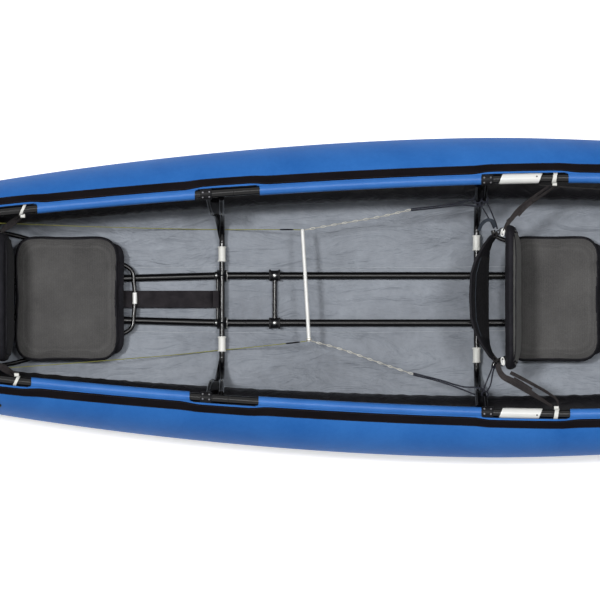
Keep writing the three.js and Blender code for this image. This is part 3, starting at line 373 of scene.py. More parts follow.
def strap(path, width, thick, up=None, finish=0, side=None):
    """Webbing: a flat section with rounded edges carried along a path, one width or one a point."""
    w, t = np.broadcast_to(width, (len(path),)) / 2, thick / 2
    outline = np.stack([np.column_stack([edge, np.full(len(path), high)]) for edge, high in (
        (-w, 0), (-w + t / 2, -t), (w - t / 2, -t), (w, 0), (w - t / 2, t), (-w + t / 2, t))], axis=1)
    return section_along(path, outline, up, finish, side)


def block(centre, size, bevel=0.15, finish=0):
    """A small box with bevelled edges: an octagon for its outline, drawn in at both ends."""
    x, y, z = np.asarray(size, float) / 2
    cut = bevel * 2 * min(x, y)
    outline = np.array([(x, -y + cut), (x, y - cut), (x - cut, y), (-x + cut, y),
                        (-x, y - cut), (-x, -y + cut), (-x + cut, -y), (x - cut, -y)])
    drawn = outline * ((x - cut) / x, (y - cut) / y)
    rows = [(drawn, -z), (outline, -z + cut), (outline, z - cut), (drawn, z)]
    grid = np.stack([np.column_stack([o, np.full(8, h)]) for o, h in rows])
    return loft(grid + np.asarray(centre, float), finish)


def dome(centre, radius, height, axis=(0, 0, 1), finish=0):
    """A bolt or rivet head: circles whose radius falls as a quarter circle over the height."""
    axis = np.asarray(axis, float) / np.linalg.norm(axis)
    share = np.array([-0.6, 0, 0.45, 0.8, 0.97])
    radii = radius * np.sqrt(1 - np.clip(share, 0, 1) ** 2)
    path = np.asarray(centre, float) + share[:, None] * height * axis
    return tube(path, radii, 12, up=(1, 0, 0) if abs(axis[0]) < 0.9 else (0, 0, 1), finish=finish)

# %% [markdown]
# A finished piece is one mesh at the origin. Its parts are joined, each keeps its own finish, and edges
# sharper than the given angle stay crisp while the rest is shaded smooth. A piece given one body rides on it,
# and one that stands for a measured solid hides it.

# %% Join parts into a piece
pieces_made = []
crisp_angle = 42


def make_piece(name, parts, finishes, body, replaced=()):
    """Joins the parts in one object. Body is the body it rides on; a pair of bodies with two points is not
    used, and the piece then stays where it is made."""
    points = np.concatenate([part["points"] for part in parts])
    starts = np.cumsum([0] + [len(part["points"]) for part in parts])
    faces, finish_of_face = [], []
    for part, start in zip(parts, starts):
        for group in part["faces"]:
            faces += (group + start).tolist()
            finish_of_face += [part["finish"]] * len(group)
    mesh = bpy.data.meshes.new(name)
    mesh.from_pydata(points.tolist(), [], faces)
    mesh.polygons.foreach_set("material_index", finish_of_face)
    mesh.uv_layers.new(name="cloth").data.foreach_set(
        "uv", np.concatenate([part["uv"] for part in parts]).ravel())
    for finish in finishes:
        mesh.materials.append(finish)
    mesh.shade_smooth()
    mesh.set_sharp_from_angle(angle=radians(crisp_angle))
    piece = bpy.data.objects.new(name, mesh)
    bpy.context.scene.collection.objects.link(piece)
    if isinstance(body, str):
        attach(piece, body)
    else:
        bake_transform(piece)
    if replaced:
        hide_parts(*((replaced,) if isinstance(replaced, str) else replaced))
    pieces_made.append((name, len(faces)))
    return piece


def lay_cord(piece, path):
    """Prints a finished cord's name and its length."""
    print(piece.name, round(path_length(path), 3), "m")


sides = {"port": 1, "starboard": -1}


def to_side(points, side):
    """The same points on the port side, or mirrored to starboard."""
    return np.asarray(points, float) * (1, sides[side], 1)


def wall_on(side, outer, inner, **settings):
    return wall(to_side(outer, side), to_side(inner, side), **settings)

print("tools ready")

# %% [markdown]
# The skin is coated fabric: blue on the sides and decks, gray inside. Coated fabric has a faint
# weave under a smooth coat, soft creases, and patches that are a little paler where it was folded.
# One function makes every fabric here: it mixes two close colours with slow noise, breaks the
# gloss with finer noise, and adds creases and threads as bumps.

# %% Fabric
def linear(colour):
    """Screen colour 0-255 to the linear colour that a shader takes."""
    c = np.asarray(colour, float) / 255
    return (*np.where(c <= 0.04045, c / 12.92, ((c + 0.055) / 1.055) ** 2.4), 1)


def ramp(tree, value, low, high, start=0.35, end=0.65):
    made = add_node(tree, "ShaderNodeValToRGB", {"Fac": value})
    made.color_ramp.elements[0].position, made.color_ramp.elements[0].color = start, low
    made.color_ramp.elements[1].position, made.color_ramp.elements[1].color = end, high
    return made.outputs["Color"]


def noise(tree, at, scale, detail=3, roughness=0.55, stretch=None, warp=0):
    if stretch:
        at = add_node(tree, "ShaderNodeMapping", {"Vector": at, "Scale": stretch}).outputs[0]
    return add_node(tree, "ShaderNodeTexNoise", {
        "Vector": at, "Scale": scale, "Detail": detail, "Roughness": roughness, "Distortion": warp,
    }).outputs["Fac"]


def threads(tree, at, pitch, direction="X"):
    """Rounded ridges with the given spacing; a wave texture repeats every 0.314 / scale."""
    return add_node(tree, "ShaderNodeTexWave", {"Vector": at, "Scale": 0.314 / pitch},
                    wave_type="BANDS", bands_direction=direction).outputs["Fac"]


def weave_of(tree, at, pitch):
    return calc(tree, "MULTIPLY", threads(tree, at, pitch, "X"), threads(tree, at, pitch, "Y"))


def bumps(tree, *layers):
    """Bump nodes in a chain, one for each (height, distance in metres)."""
    normal = None
    for height, distance in layers:
        inputs = {"Height": height, "Distance": distance, "Strength": 1}
        if normal:
            inputs["Normal"] = normal
        normal = add_node(tree, "ShaderNodeBump", inputs).outputs["Normal"]
    return normal


def finish_surface(tree, colour, roughness, normal, specular=0.5, sheen=0.0, metallic=0.0):
    shader = add_node(tree, "ShaderNodeBsdfPrincipled", {
        "Base Color": colour, "Roughness": roughness, "Normal": normal,
        "Specular IOR Level": specular, "Sheen Weight": sheen, "Metallic": metallic})
    add_node(tree, "ShaderNodeOutputMaterial", {"Surface": shader.outputs[0]})


def fabric(name, dark, pale, rough, patch, crease, specular, pitch=0.0012, thread=0.00008,
           by_length=False, sheen=0.0):
    """Cloth between two colours: how big its patches are, how deep its creases and threads."""
    material, tree = new_material(name)
    place = add_node(tree, "ShaderNodeTexCoord").outputs["UV" if by_length else "Object"]
    patches = noise(tree, place, patch, 5, 0.6, warp=0.4)
    grain = noise(tree, place, 90, 4, 0.7)
    tone = weigh(tree, (patches, 0.75), (grain, 0.25))
    creases = noise(tree, place, patch * 3, 3, 0.5, warp=1.2)
    finish_surface(tree, ramp(tree, tone, linear(dark), linear(pale)), remap(tree, grain, *rough),
                   bumps(tree, (creases, crease), (weave_of(tree, place, pitch), thread)), specular, sheen)
    return material


blue_skin = fabric("blue_skin", (37, 99, 175), (50, 113, 190), (0.52, 0.64), 5, 0.0007, 0.12)
sleeve_skin = fabric("sleeve_skin", (44, 105, 182), (58, 119, 196), (0.28, 0.38), 7, 0.0006, 0.26)
black_skin = fabric("black_skin", (20, 20, 22), (32, 32, 35), (0.45, 0.6), 7, 0.0008, 0.2)
sponson_cloth = fabric("sponson_cloth", (7, 7, 10), (17, 16, 20), (0.34, 0.5), 9, 0.005, 0.24, 0.0008)
webbing, strap_webbing = (
    fabric(name, dark, pale, (0.7, 0.85), 25, 0.0003, 0.12, 0.0022, 0.0004, by_length=True)
    for name, dark, pale in (("webbing", (28, 26, 29), (46, 43, 46)),
                             ("strap_webbing", (44, 41, 42), (66, 62, 62))))
back_cloth = fabric("back_cloth", (20, 20, 24), (36, 35, 40), (0.7, 0.9), 14, 0.0018, 0.15, 0.0011, 0.0001)
velvet = fabric("velvet", (9, 9, 13), (22, 21, 27), (0.85, 0.95), 22, 0.002, 0.1, 0.0011, 0.0001, sheen=0.04)
binding_tape, slate_tape = (
    fabric(name, dark, pale, (0.65, 0.85), 30, 0.0003, 0.14, 0.0018, 0.0003, by_length=True)
    for name, dark, pale in (("binding_tape", (22, 22, 25), (38, 37, 41)),
                             ("slate_tape", (40, 46, 54), (58, 64, 72))))
print("fabrics", 10)

# %% [markdown]
# The hook-and-loop strip is the darkest cloth on the boat. It is sewn down along both edges, and
# the stitches follow the strip's own lengths: they show where the distance across the strip is near
# an edge, and where a saw wave along it is below six tenths.

# %% Hook-and-loop strip
def stitches(tree, place, at, pitch=0.0042, wide=0.0006):
    """1 on the dashes of a row of stitches at the given distance across, 0 elsewhere."""
    parts = add_node(tree, "ShaderNodeSeparateXYZ", {"Vector": place}).outputs
    phase = calc(tree, "FRACT", calc(tree, "DIVIDE", parts["X"], pitch))
    on_row = calc(tree, "LESS_THAN", gap_to(tree, parts["Y"], at), wide)
    return calc(tree, "MULTIPLY", on_row, calc(tree, "LESS_THAN", phase, 0.6))


def mix_colour(tree, share, first, second):
    made = add_node(tree, "ShaderNodeMix", data_type="RGBA")
    for socket, value in zip((made.inputs[0], made.inputs[6], made.inputs[7]), (share, first, second)):
        if isinstance(value, bpy.types.NodeSocket):
            tree.links.new(value, socket)
        else:
            socket.default_value = value
    return made.outputs[2]


hook_strip, tree = new_material("hook_strip")
coordinates = add_node(tree, "ShaderNodeTexCoord").outputs
nap = noise(tree, coordinates["Object"], 620, 3, 0.7)
wear = noise(tree, coordinates["Object"], 26, 4, 0.6, stretch=(0.35, 1, 1))
seam = calc(tree, "MAXIMUM", *(stitches(tree, coordinates["UV"], at) for at in (0.0046, 0.0235)))
cloth = ramp(tree, weigh(tree, (nap, 0.5), (wear, 0.5)), linear((12, 10, 13)), linear((26, 22, 25)))
finish_surface(tree, mix_colour(tree, seam, cloth, linear((50, 47, 52))), remap(tree, nap, 0.85, 0.98),
               bumps(tree, (nap, 0.0006), (seam, 0.0003)), 0.06)
print("stitch pitch 4.2 mm")

# %% [markdown]
# The floor of the boat is the inside of the bottom panel. Its coat is mottled where the cloth was
# folded, soft wrinkles run mostly along the boat, and two straight creases beside the keelsons
# remain from packing. The wrinkles are noise stretched along the boat, and the creases are found
# from the distance to the middle line.

# %% Coated floor
gray_skin, tree = new_material("gray_skin")
place = add_node(tree, "ShaderNodeTexCoord").outputs["Object"]
clouds = noise(tree, place, 2.6, 5, 0.62, warp=0.5)
spots = noise(tree, place, 34, 5, 0.7)
wrinkles = noise(tree, place, 9, 5, 0.62, stretch=(0.55, 1.7, 1.7), warp=1.1)
ridges = gap_to(tree, wrinkles, 0.5)
parts = add_node(tree, "ShaderNodeSeparateXYZ", {"Vector": place}).outputs
wander = calc(tree, "MULTIPLY", calc(tree, "SUBTRACT", noise(tree, place, 2.2, 3), 0.5), 0.02)
across = calc(tree, "ADD", calc(tree, "ABSOLUTE", parts["Y"]), wander)
fold_at, fold_half = 0.087, 0.0012
on_fold = calc(tree, "LESS_THAN", gap_to(tree, across, fold_at), fold_half)
fold = calc(tree, "MULTIPLY", on_fold, noise(tree, place, 5, 3))
tone = weigh(tree, (clouds, 0.5), (spots, 0.28), (wrinkles, 0.22))
coat = ramp(tree, tone, linear((104, 109, 117)), linear((147, 153, 162)), 0.34, 0.66)
weave = weave_of(tree, place, 0.0016)
finish_surface(tree, mix_colour(tree, calc(tree, "MULTIPLY", fold, 0.6), coat, linear((182, 187, 194))),
               remap(tree, spots, 0.42, 0.6),
               bumps(tree, (wrinkles, 0.012), (ridges, 0.004), (fold, 0.0008), (weave, 0.00008)), 0.3)
print("folds 87 mm from the middle")

# %% [markdown]
# The seats are topped with a spacer mesh: a dark open knit with a paler thread behind it. Its holes
# are under two millimetres, so they are painted and bumped rather than cut.

# %% Spacer mesh
def spacer_mesh(name, dark, pale, pitch=0.0022):
    material, tree = new_material(name)
    place = add_node(tree, "ShaderNodeTexCoord").outputs["Object"]
    cells = add_node(tree, "ShaderNodeTexVoronoi", {"Vector": place, "Scale": 1 / pitch,
                                                    "Randomness": 0.35}).outputs["Distance"]
    patches = noise(tree, place, 9, 4, 0.6)
    rows = threads(tree, place, 0.0065, "X")
    coat = ramp(tree, weigh(tree, (cells, 0.5), (patches, 0.55), (rows, 0.04)), linear(dark), linear(pale),
                0.3, 0.8)
    finish_surface(tree, coat, remap(tree, patches, 0.8, 0.95), bumps(tree, (patches, 0.002), (cells, 0.0004)),
                   0.15, 0.06)
    return material


seat_mesh = spacer_mesh("seat_mesh", (62, 61, 61), (98, 97, 96))
pad_mesh = spacer_mesh("pad_mesh", (86, 86, 84), (126, 126, 123), 0.003)
print("mesh pitch 2.2 mm")

# %% [markdown]
# The frame is anodised tube: black with a clear highlight along it, and silver where it slides.
# Handling leaves fine scratches along a tube and a dull bloom in patches, so roughness varies more
# than colour does. Moulded parts are the same network with no metal and a pebbled bump.

# %% Tube and plastic
def hard_surface(name, dark, pale, rough, metallic=0.0, pebble=0.00006, specular=0.5,
                 stretch=(8, 160, 160)):
    """Tube or plastic between two colours; its scratches run along the axis that is stretched least."""
    material, tree = new_material(name)
    place = add_node(tree, "ShaderNodeTexCoord").outputs["Object"]
    scratches = noise(tree, place, 3, 6, 0.75, stretch=stretch)
    patches = noise(tree, place, 12, 4, 0.6)
    fine = noise(tree, place, 260, 3)
    tone = weigh(tree, (patches, 0.5), (scratches, 0.5))
    finish_surface(tree, ramp(tree, tone, linear(dark), linear(pale)), remap(tree, scratches, *rough),
                   bumps(tree, (fine, pebble)), specular, metallic=metallic)
    return material


smooth_pebble = 0.00001
black_tube = hard_surface("black_tube", (4, 4, 5), (11, 10, 12), (0.08, 0.14), 0, 0.000006, 0.36)
silver_tube = hard_surface("silver_tube", (222, 223, 220), (238, 238, 235), (0.2, 0.42), 0, smooth_pebble)
white_plastic = hard_surface("white_plastic", (214, 214, 208), (232, 232, 227), (0.35, 0.6))
black_plastic = hard_surface("black_plastic", (10, 10, 12), (22, 22, 25), (0.35, 0.6), 0, 0.00012, 0.14)
bolt_steel = hard_surface("bolt_steel", (150, 150, 150), (200, 200, 198), (0.2, 0.4), 1, smooth_pebble)
dark_steel = hard_surface("dark_steel", (96, 96, 100), (138, 138, 142), (0.25, 0.45), 1, smooth_pebble)
chain_steel = hard_surface("chain_steel", (198, 195, 184), (226, 223, 212), (0.25, 0.45), 0.5, smooth_pebble)
blade_metal = hard_surface("blade_metal", (128, 131, 136), (160, 163, 168), (0.28, 0.5), 0.9, smooth_pebble,
                           stretch=(160, 8, 40))
rubber = hard_surface("rubber", (22, 22, 23), (34, 34, 35), (0.7, 0.9), 0, 0.0002, 0.2)
print("hard finishes", 9)

# %% [markdown]
# A cord's sheath is braided: strands wind round it both ways. Its pattern reads the piece's own
# lengths, along the cord and round it, so it turns with every bend.

# %% Braided cord
def braid(name, dark, pale, pitch):
    material, tree = new_material(name)
    place = add_node(tree, "ShaderNodeTexCoord").outputs["UV"]
    strands = [add_node(tree, "ShaderNodeMapping", {"Vector": place, "Rotation": (0, 0, lean)}).outputs[0]
               for lean in (pi / 4, -pi / 4)]
    crossing = calc(tree, "MAXIMUM", threads(tree, strands[0], pitch), threads(tree, strands[1], pitch))
    patches = noise(tree, place, 30, 3)
    tone = weigh(tree, (crossing, 0.6), (patches, 0.4))
    finish_surface(tree, ramp(tree, tone, linear(dark), linear(pale), 0.3, 0.8),
                   remap(tree, patches, 0.6, 0.85), bumps(tree, (crossing, 0.0002)), 0.2)
    return material


olive_line = braid("olive_line", (96, 98, 40), (158, 158, 84), 0.0012)
bungee_sheath = braid("bungee_sheath", (18, 19, 25), (42, 44, 54), 0.0018)
black_line = braid("black_line", (30, 29, 30), (52, 50, 50), 0.0012)
print("cords", 3)

# %% [markdown]
# The hull's shape comes from a few curves along its length: how wide it is at the beam and at the
# gunwale, how high each of these runs, and how the keel rises at the ends. A section is an
# ellipse-like quarter below the beam line and a plain quarter ellipse above it, where the skin
# rises to the gunwale.

# %% The hull's lines
half_length = 2.45
skin_end = 2.41325
seam_share = 0.69
grip_out, grip_up = 0.00996, 0.00836


def plan_share(reach, power, rounding):
    return (1 - np.minimum(np.abs(reach), 1) ** power) ** rounding


def half_beam(x):
    return 0.006 + 0.424 * plan_share(x / half_length, 1.75, 0.75)


def gunwale_half(x):
    reach = (x - 0.2) / np.where(x < 0.2, 2.65, 2.25)
    return np.minimum(0.316 * plan_share(reach, 1.6, 0.65), 0.8 * half_beam(x))


def gunwale_height(x):
    return 0.3 + 0.065 * (x / half_length) ** 2


def keel_height(x):
    return 0.0033 + 0.23 * np.maximum(0, (np.abs(x / half_length) - 0.62) / 0.38) ** 3


def beam_height(x):
    return keel_height(x) + 0.53 * (gunwale_height(x) - keel_height(x))


def section_powers(x):
    ends = np.minimum(1, 1.3 * np.abs(x / half_length) ** 3)
    return 2.5 - ends, 2 - 0.6 * ends


def lower_skin(x, turn, inset=0.0):
    """y = half |sin|^(2/a), z = top - depth cos^(2/b): a rounded section from the keel to the beam."""
    x, turn = np.broadcast_arrays(np.asarray(x, float)[:, None], turn)
    across, upward = section_powers(x)
    half, top = half_beam(x) - inset, beam_height(x)
    y = half * np.abs(np.sin(turn)) ** (2 / across) * np.sign(np.sin(turn))
    z = top - (top - keel_height(x) - inset) * np.maximum(np.cos(turn), 0) ** (2 / upward)
    return np.stack([x, y, z], axis=-1)


def upper_skin(x, turn, inset=0.0):
    """A quarter ellipse from the beam to the place where the skin meets the gunwale's sleeve."""
    x, turn = np.broadcast_arrays(np.asarray(x, float)[:, None], turn)
    half, top = half_beam(x) - inset, beam_height(x)
    edge = np.minimum(gunwale_half(x) + grip_out, 0.9 * half_beam(x))
    rise = gunwale_height(x) + grip_up - top - inset
    return np.stack([x, edge + (half - edge) * np.cos(turn), top + rise * np.sin(turn)], axis=-1)


def gunwale_line(x):
    x = np.asarray(x, float)
    return np.stack([x, gunwale_half(x), gunwale_height(x)], axis=-1)


def floor_height(x, y):
    across, upward = section_powers(x)
    half, top = half_beam(x) - 0.002, beam_height(x)
    return top - (top - keel_height(x) - 0.002) * (1 - np.minimum(y / half, 1) ** across) ** (1 / upward)

print("beam", float(2 * half_beam(np.array(0.0))), "m")

# %% [markdown]
# The bottom is a panel of heavy coated fabric, gray on the side that shows in the boat. It is made
# as a wall of two grids, outside and inside, two millimetres apart. Tape is welded over its seams
# with the topsides, and a strip of rubber protects the keel.

# %% Bottom panel
quarter = pi / 2
stations = np.linspace(-skin_end, skin_end, 261)
turns = np.linspace(-seam_share * quarter, seam_share * quarter, 73)
outside = lower_skin(stations, turns)
inside = lower_skin(stations, turns, 0.002)
make_piece("bottom_panel", [wall(outside, inside)], [gray_skin], "hull", "hull_bottom")

tape_turns = np.linspace(seam_share - 0.05, seam_share + 0.05, 7) * quarter
tape_height = 0.0009 * np.array([0, 1, 1, 1, 1, 1, 0])[None, :, None] + 0.0001
tape_out = lower_skin(stations, tape_turns, 0)
tape_normal = tape_out - lower_skin(stations, tape_turns, 0.004)
tape_normal /= np.linalg.norm(tape_normal, axis=2, keepdims=True)
tape_parts = [wall_on(side, tape_out + tape_normal * tape_height, tape_out - tape_normal * 0.0003)
              for side in sides]
make_piece("seam_tape", tape_parts, [black_skin], "hull")

strip_x = np.linspace(-1.4, 1.4, 41)
strip = loft(np.stack([np.stack([strip_x, np.full(41, y), np.full(41, z)], axis=1) for y, z in (
    (-0.04, 0.003), (-0.0385, 0), (0.0385, 0), (0.04, 0.003))], axis=1))
make_piece("keel_rubber", [strip], [rubber], "hull", "keel_strip")
print("bottom rows", len(stations))

# %% [markdown]
# Each topside rises from the seam to the gunwale. At the top it is sewn into a sleeve that holds
# the gunwale tube, with windows cut in it where ribs, locks and clips reach the tube. A window's
# edge keeps a thin blue strip, with rounded corners, and a wide hook-and-loop strip for the spray
# deck runs just outboard of it all. The sections are first followed by arc length, so that the
# edge, the strip and the panel each start at a real distance from the gunwale.

# %% Windows in the gunwale sleeves
windows = {
    "port": [(-1.495, -1.2285), (-0.808, -0.634), (-0.042, 0.192), (0.56, 0.735), (1.285, 1.355)],
    "starboard": [(-1.495, -1.2445), (-0.822, -0.637), (-0.042, 0.196), (0.56, 0.735), (1.285, 1.355)],
}


def in_window(x, side, radius):
    """1 inside a window and 0 outside, with a quarter circle of the given radius at each end."""
    share = np.zeros_like(x)
    for start, end in windows[side]:
        near = np.clip(np.minimum(x - start, end - x) / radius, 0, 1)
        share = np.maximum(share, np.sqrt(1 - (1 - near) ** 2))
    return share


def around_window(x, side):
    """The same, but rising before the window's end in a soft S, 60 mm long."""
    share = np.zeros_like(x)
    for start, end in windows[side]:
        near = np.clip(np.minimum(x - start, end - x) / 0.06 + 0.5, 0, 1)
        share = np.maximum(share, near * near * (3 - 2 * near))
    return share


window_ends = np.array([x for edges in windows.values() for pair in edges for x in pair])
fine_steps = (window_ends[:, None] + np.linspace(-0.012, 0.012, 9)).ravel()
topside_x = np.unique(np.round(np.concatenate([np.linspace(-skin_end, skin_end, 241), fine_steps]), 4))
print("topside rows", len(topside_x))

# %% Topside sections by arc length
def topside_curve(x, inset):
    """The section from the gunwale down to the seam: the upper quarter, then the lower part."""
    high = upper_skin(x, np.linspace(quarter, 0, 60), inset)
    low = lower_skin(x, np.linspace(quarter, seam_share * quarter, 50)[1:], inset)
    return np.concatenate([high, low], axis=1)


def steps_of(curve):
    return np.linalg.norm(np.diff(curve, axis=1), axis=2)


def at_arc(curve, wanted):
    """Points of each row at the wanted arc lengths, read between the curve's own points."""
    steps = steps_of(curve)
    arc = np.concatenate([np.zeros((len(curve), 1)), np.cumsum(steps, axis=1)], axis=1)
    wanted = np.minimum(wanted, arc[:, -1:])
    after = np.clip((arc[:, None] < wanted[:, :, None]).sum(axis=2), 1, curve.shape[1] - 1)
    low, high = np.take_along_axis(arc, after - 1, 1), np.take_along_axis(arc, after, 1)
    share = ((wanted - low) / np.maximum(high - low, 1e-12))[..., None]
    pick = lambda index: np.take_along_axis(curve, np.repeat(index[..., None], 3, axis=2), 1)
    return pick(after - 1) * (1 - share) + pick(after) * share


def raised(grid, height):
    """Moves a grid along its normals: the cross product of its rows' and columns' directions."""
    normal = np.cross(np.gradient(grid, axis=0), np.gradient(grid, axis=1))
    normal /= np.maximum(np.linalg.norm(normal, axis=2, keepdims=True), 1e-12)
    normal *= np.sign(normal[..., 2:].mean())
    return grid + normal * height


strip_end = 2.35
panel_share = np.linspace(0, 1, 40) ** 1.15
strip_share = np.array([0, 0, 0.06, 0.5, 0.94, 1, 1])
strip_height = np.array([-0.0002, 0.0009, 0.0016, 0.0017, 0.0016, 0.0009, -0.0002])[None, :, None]
for side in sides:
    outer_curve, inner_curve = topside_curve(topside_x, 0), topside_curve(topside_x, 0.002)
    edge = (0.0042 * in_window(topside_x, side, 0.009))[:, None]
    outer_arc, inner_arc = (steps_of(curve).sum(axis=1)[:, None] for curve in (outer_curve, inner_curve))
    outside = at_arc(outer_curve, edge + (outer_arc - edge) * panel_share)
    inside = at_arc(inner_curve, edge + (inner_arc - edge) * panel_share)
    bulge = around_window(topside_x, side)[:, None]
    start, width = 0.0036 + 0.0056 * bulge, 0.0242 - 0.0026 * bulge
    taper = np.minimum(1, outer_arc / 0.12)
    strip_line = at_arc(outer_curve, (start + width * strip_share) * taper)
    rows = np.abs(topside_x) < strip_end
    hook = wall_on(side, raised(strip_line, strip_height)[rows], strip_line[rows] - (0, 0, 0.0004), finish=1)
    make_piece(f"{side}_side_panel", [wall_on(side, outside, inside), hook], [blue_skin, hook_strip], "hull",
               f"{side}_topside")
print("topside panel from", round(float(outside[..., 2].max()), 3), "m down")

# %% [markdown]
# The sleeves are short hollow tubes of the same blue fabric round the gunwale. Each end is cut
# straight across the top and curves away near the skin, where it runs on into the thin blue edge
# of the window. So the ends aren't planes: along the sleeve, every point round it starts and ends
# at its own place, and the rows in between share out the distance. Towards the stems, where the
# boat is narrower than two sleeves, they thin with its beam.

# %% Gunwale sleeves
sleeve_turns = np.arange(32) * 2 * pi / 32
sleeve_radius, sleeve_wall, thinnest_sleeve = 0.014, 0.0014, 0.004
sleeve_end, sleeve_of_beam = 2.39, 0.13


def sleeve(start, end, side, curved):
    """Rings round the gunwale line: y = r cos, z = r sin of the turn from outboard."""
    near = np.clip(1 - np.abs(np.angle(np.exp(1j * (sleeve_turns - radians(10))))) / radians(62), 0, 1)
    curve = 0.011 * (1 - np.sqrt(1 - near ** 2))
    share = np.linspace(0, 1, max(4, int((end - start) / 0.02)))[:, None]
    x = (start - curve * curved[0]) * (1 - share) + (end + curve * curved[1]) * share
    radius = np.clip(sleeve_of_beam * half_beam(x), thinnest_sleeve, sleeve_radius)[..., None]
    return round_gunwale(side, x, sleeve_turns, radius, radius - sleeve_wall)


def round_gunwale(side, x, turn, outer, inner):
    """A hollow body round the gunwale line, with its own x for every point of every ring."""
    centre = gunwale_line(x)
    spoke = np.stack([np.zeros_like(x), np.cos(turn) + 0 * x, np.sin(turn) + 0 * x], axis=-1)
    return wall_on(side, centre + spoke * outer, centre + spoke * inner, wrap=True)


for side, edges in windows.items():
    starts = [-sleeve_end] + [end for _, end in edges]
    ends = [start for start, _ in edges] + [sleeve_end]
    parts = [sleeve(start, end, side, (start > -2, end < 2)) for start, end in zip(starts, ends)]
    make_piece(f"{side}_sleeves", parts, [sleeve_skin], "hull")
print("sleeves", 2 * len(starts))

# %% [markdown]
# The decks are cambered sheets over the ends of the boat, on the hoops and the gunwales. Their
# edges towards the cockpit carry a folded hem, a strap's thickness proud. Near the stems the outer
# fifth of each sheet is drawn down and out to the skin's edge, which closes the boat's tips.

# %% Decks
deck_wall = 0.0025
closing_from, closing_over = 2.22, 0.1


def deck_height(x, y):
    half = gunwale_half(x)
    camber = 0.07 * half / gunwale_half(np.array(-1.47))
    return gunwale_height(x) + 0.014 * cos(pi / 8) + 0.0005 + camber * (1 - (y / half) ** 2)


def deck(start, end):
    x = np.linspace(start, end, 56)[:, None]
    across = np.linspace(-1, 1, 33)
    y = across * gunwale_half(x)
    x = x + 0 * y
    z = deck_height(x, y)
    closing = np.clip((np.abs(x) - closing_from) / closing_over, 0, 1)
    out = closing * np.clip(5 * np.abs(across) - 4, 0, 1) ** 2
    y = y + out * np.sign(y) * (0.1 * half_beam(x) + 0.001)
    under = np.stack([x, y, z - out * (z - gunwale_height(x) - grip_up - 0.0003)], axis=-1)
    return under, wall(under + (0, 0, deck_wall), under)


for name, start, end in (("aft_deck", -skin_end, -1.4), ("fore_deck", 1.3, skin_end)):
    under, sheet = deck(start, end)
    cockpit = under[-1] if name == "aft_deck" else under[0]
    inward = -1 if name == "aft_deck" else 1
    hem_path = even_path(cockpit * (1, 0.985, 1) + (inward * 0.011, 0, deck_wall + 0.0012), 60)
    hem = strap(hem_path, 0.022, 0.0022, (0, 0, 1), finish=1)
    make_piece(name + "_cloth", [sheet, hem], [blue_skin, binding_tape], "hull", name)
print("decks", 2)

# %% [markdown]
# A sponson is an air tube in a black sleeve along each side. Pumped up, it stretches the skin, and
# its sleeve wrinkles across its length where it bends. Its outer face follows the skin and its
# inner face is half an ellipse, which the wrinkles only ever dent, so it stays off the ribs.

# %% Sponsons
sponson_end = 1.96


def sponson(side):
    x = np.linspace(-sponson_end, sponson_end, 420)
    half, middle = half_beam(x)[:, None], beam_height(x)[:, None]
    turn = np.linspace(quarter, 3 * quarter, 28)
    inner = np.stack([x[:, None] + 0 * turn, half * (0.814 + 0.2046 * np.cos(turn)),
                      middle + 0.19 * half * np.sin(turn)], axis=-1)
    low = lower_skin(x, np.linspace(seam_share + 0.1033, 1, 8) * quarter, 0.0035)
    high = upper_skin(x, np.linspace(0, 0.25, 6)[1:] * quarter, 0.0035)
    ring = np.concatenate([low, high, inner], axis=1)
    rng = np.random.default_rng(7)
    around = np.linspace(0, 2 * pi, ring.shape[1], endpoint=False)
    waves = zip(rng.uniform(60, 220, 16), rng.integers(1, 4, 16), rng.uniform(0, 6, 16),
                rng.uniform(0.05, 0.3, 16))
    dents = sum((1 + np.sin(x * rate + phase)[:, None] * np.cos(around * turns + phase)) * depth
                for rate, turns, phase, depth in waves)
    dents = 0.0007 * dents / dents.std()
    dents -= dents.min()
    centre = np.stack([x, 0.814 * half[:, 0], middle[:, 0]], axis=-1)[:, None]
    spoke = ring - centre
    reach = np.linalg.norm(spoke, axis=2, keepdims=True)
    ends = np.clip((sponson_end - np.abs(x)) / 0.09, 0, 1)
    size = (0.45 + 0.55 * np.sqrt(1 - (1 - ends) ** 2))[:, None, None]
    dented = reach - np.minimum(dents, 0.005)[..., None]
    return loft(to_side(centre + spoke / reach * dented * size, side))


for side in sides:
    air_tube = make_piece(f"{side}_air_tube", [sponson(side)], [sponson_cloth], "hull",
                          f"{side}_sponson")
print("sponsons 3.9 m long")

# %% [markdown]
# The gunwales are tubes in two lengths on each side, thinner towards the stems, where they run
# close together. The lengths meet amidships inside a silver sleeve that slides over the joint and
# locks it.

# %% Gunwale tubes
joint_x, gunwale_end = 0.02, 2.33975
tube_of_beam, thinnest_tube, tube_radius = 0.1, 0.003, 0.0115
joint_rings = {"port": (-0.7058, 0.62, 1.32), "starboard": (-0.7182, 0.62, 1.32)}
for side in sides:
    for name, start, end in (("aft", -gunwale_end, joint_x), ("fore", joint_x + 0.0003, gunwale_end)):
        path = gunwale_line(np.linspace(start, end, 130))
        radius = np.clip(tube_of_beam * half_beam(path[:, 0]), thinnest_tube, tube_radius)
        parts = [tube(to_side(path, side), radius, 28)]
        for x in (x for x in joint_rings[side] if start < x < end):
            ring = gunwale_line(x + np.array([-0.0008, 0.0008]))
            parts.append(tube(to_side(ring, side), 0.01172, 28, finish=1))
            rivet = gunwale_line(np.array(x - 0.019)) - (0, 0.0098, 0.0052)
            parts.append(dome(to_side(rivet, side), 0.0027, 0.0018, (0, -0.88 * sides[side], -0.47), finish=2))
        make_piece(f"{side}_gunwale_{name}_tube", parts, [black_tube, black_plastic, bolt_steel],
                   "hull", f"{side}_gunwale_{name}")


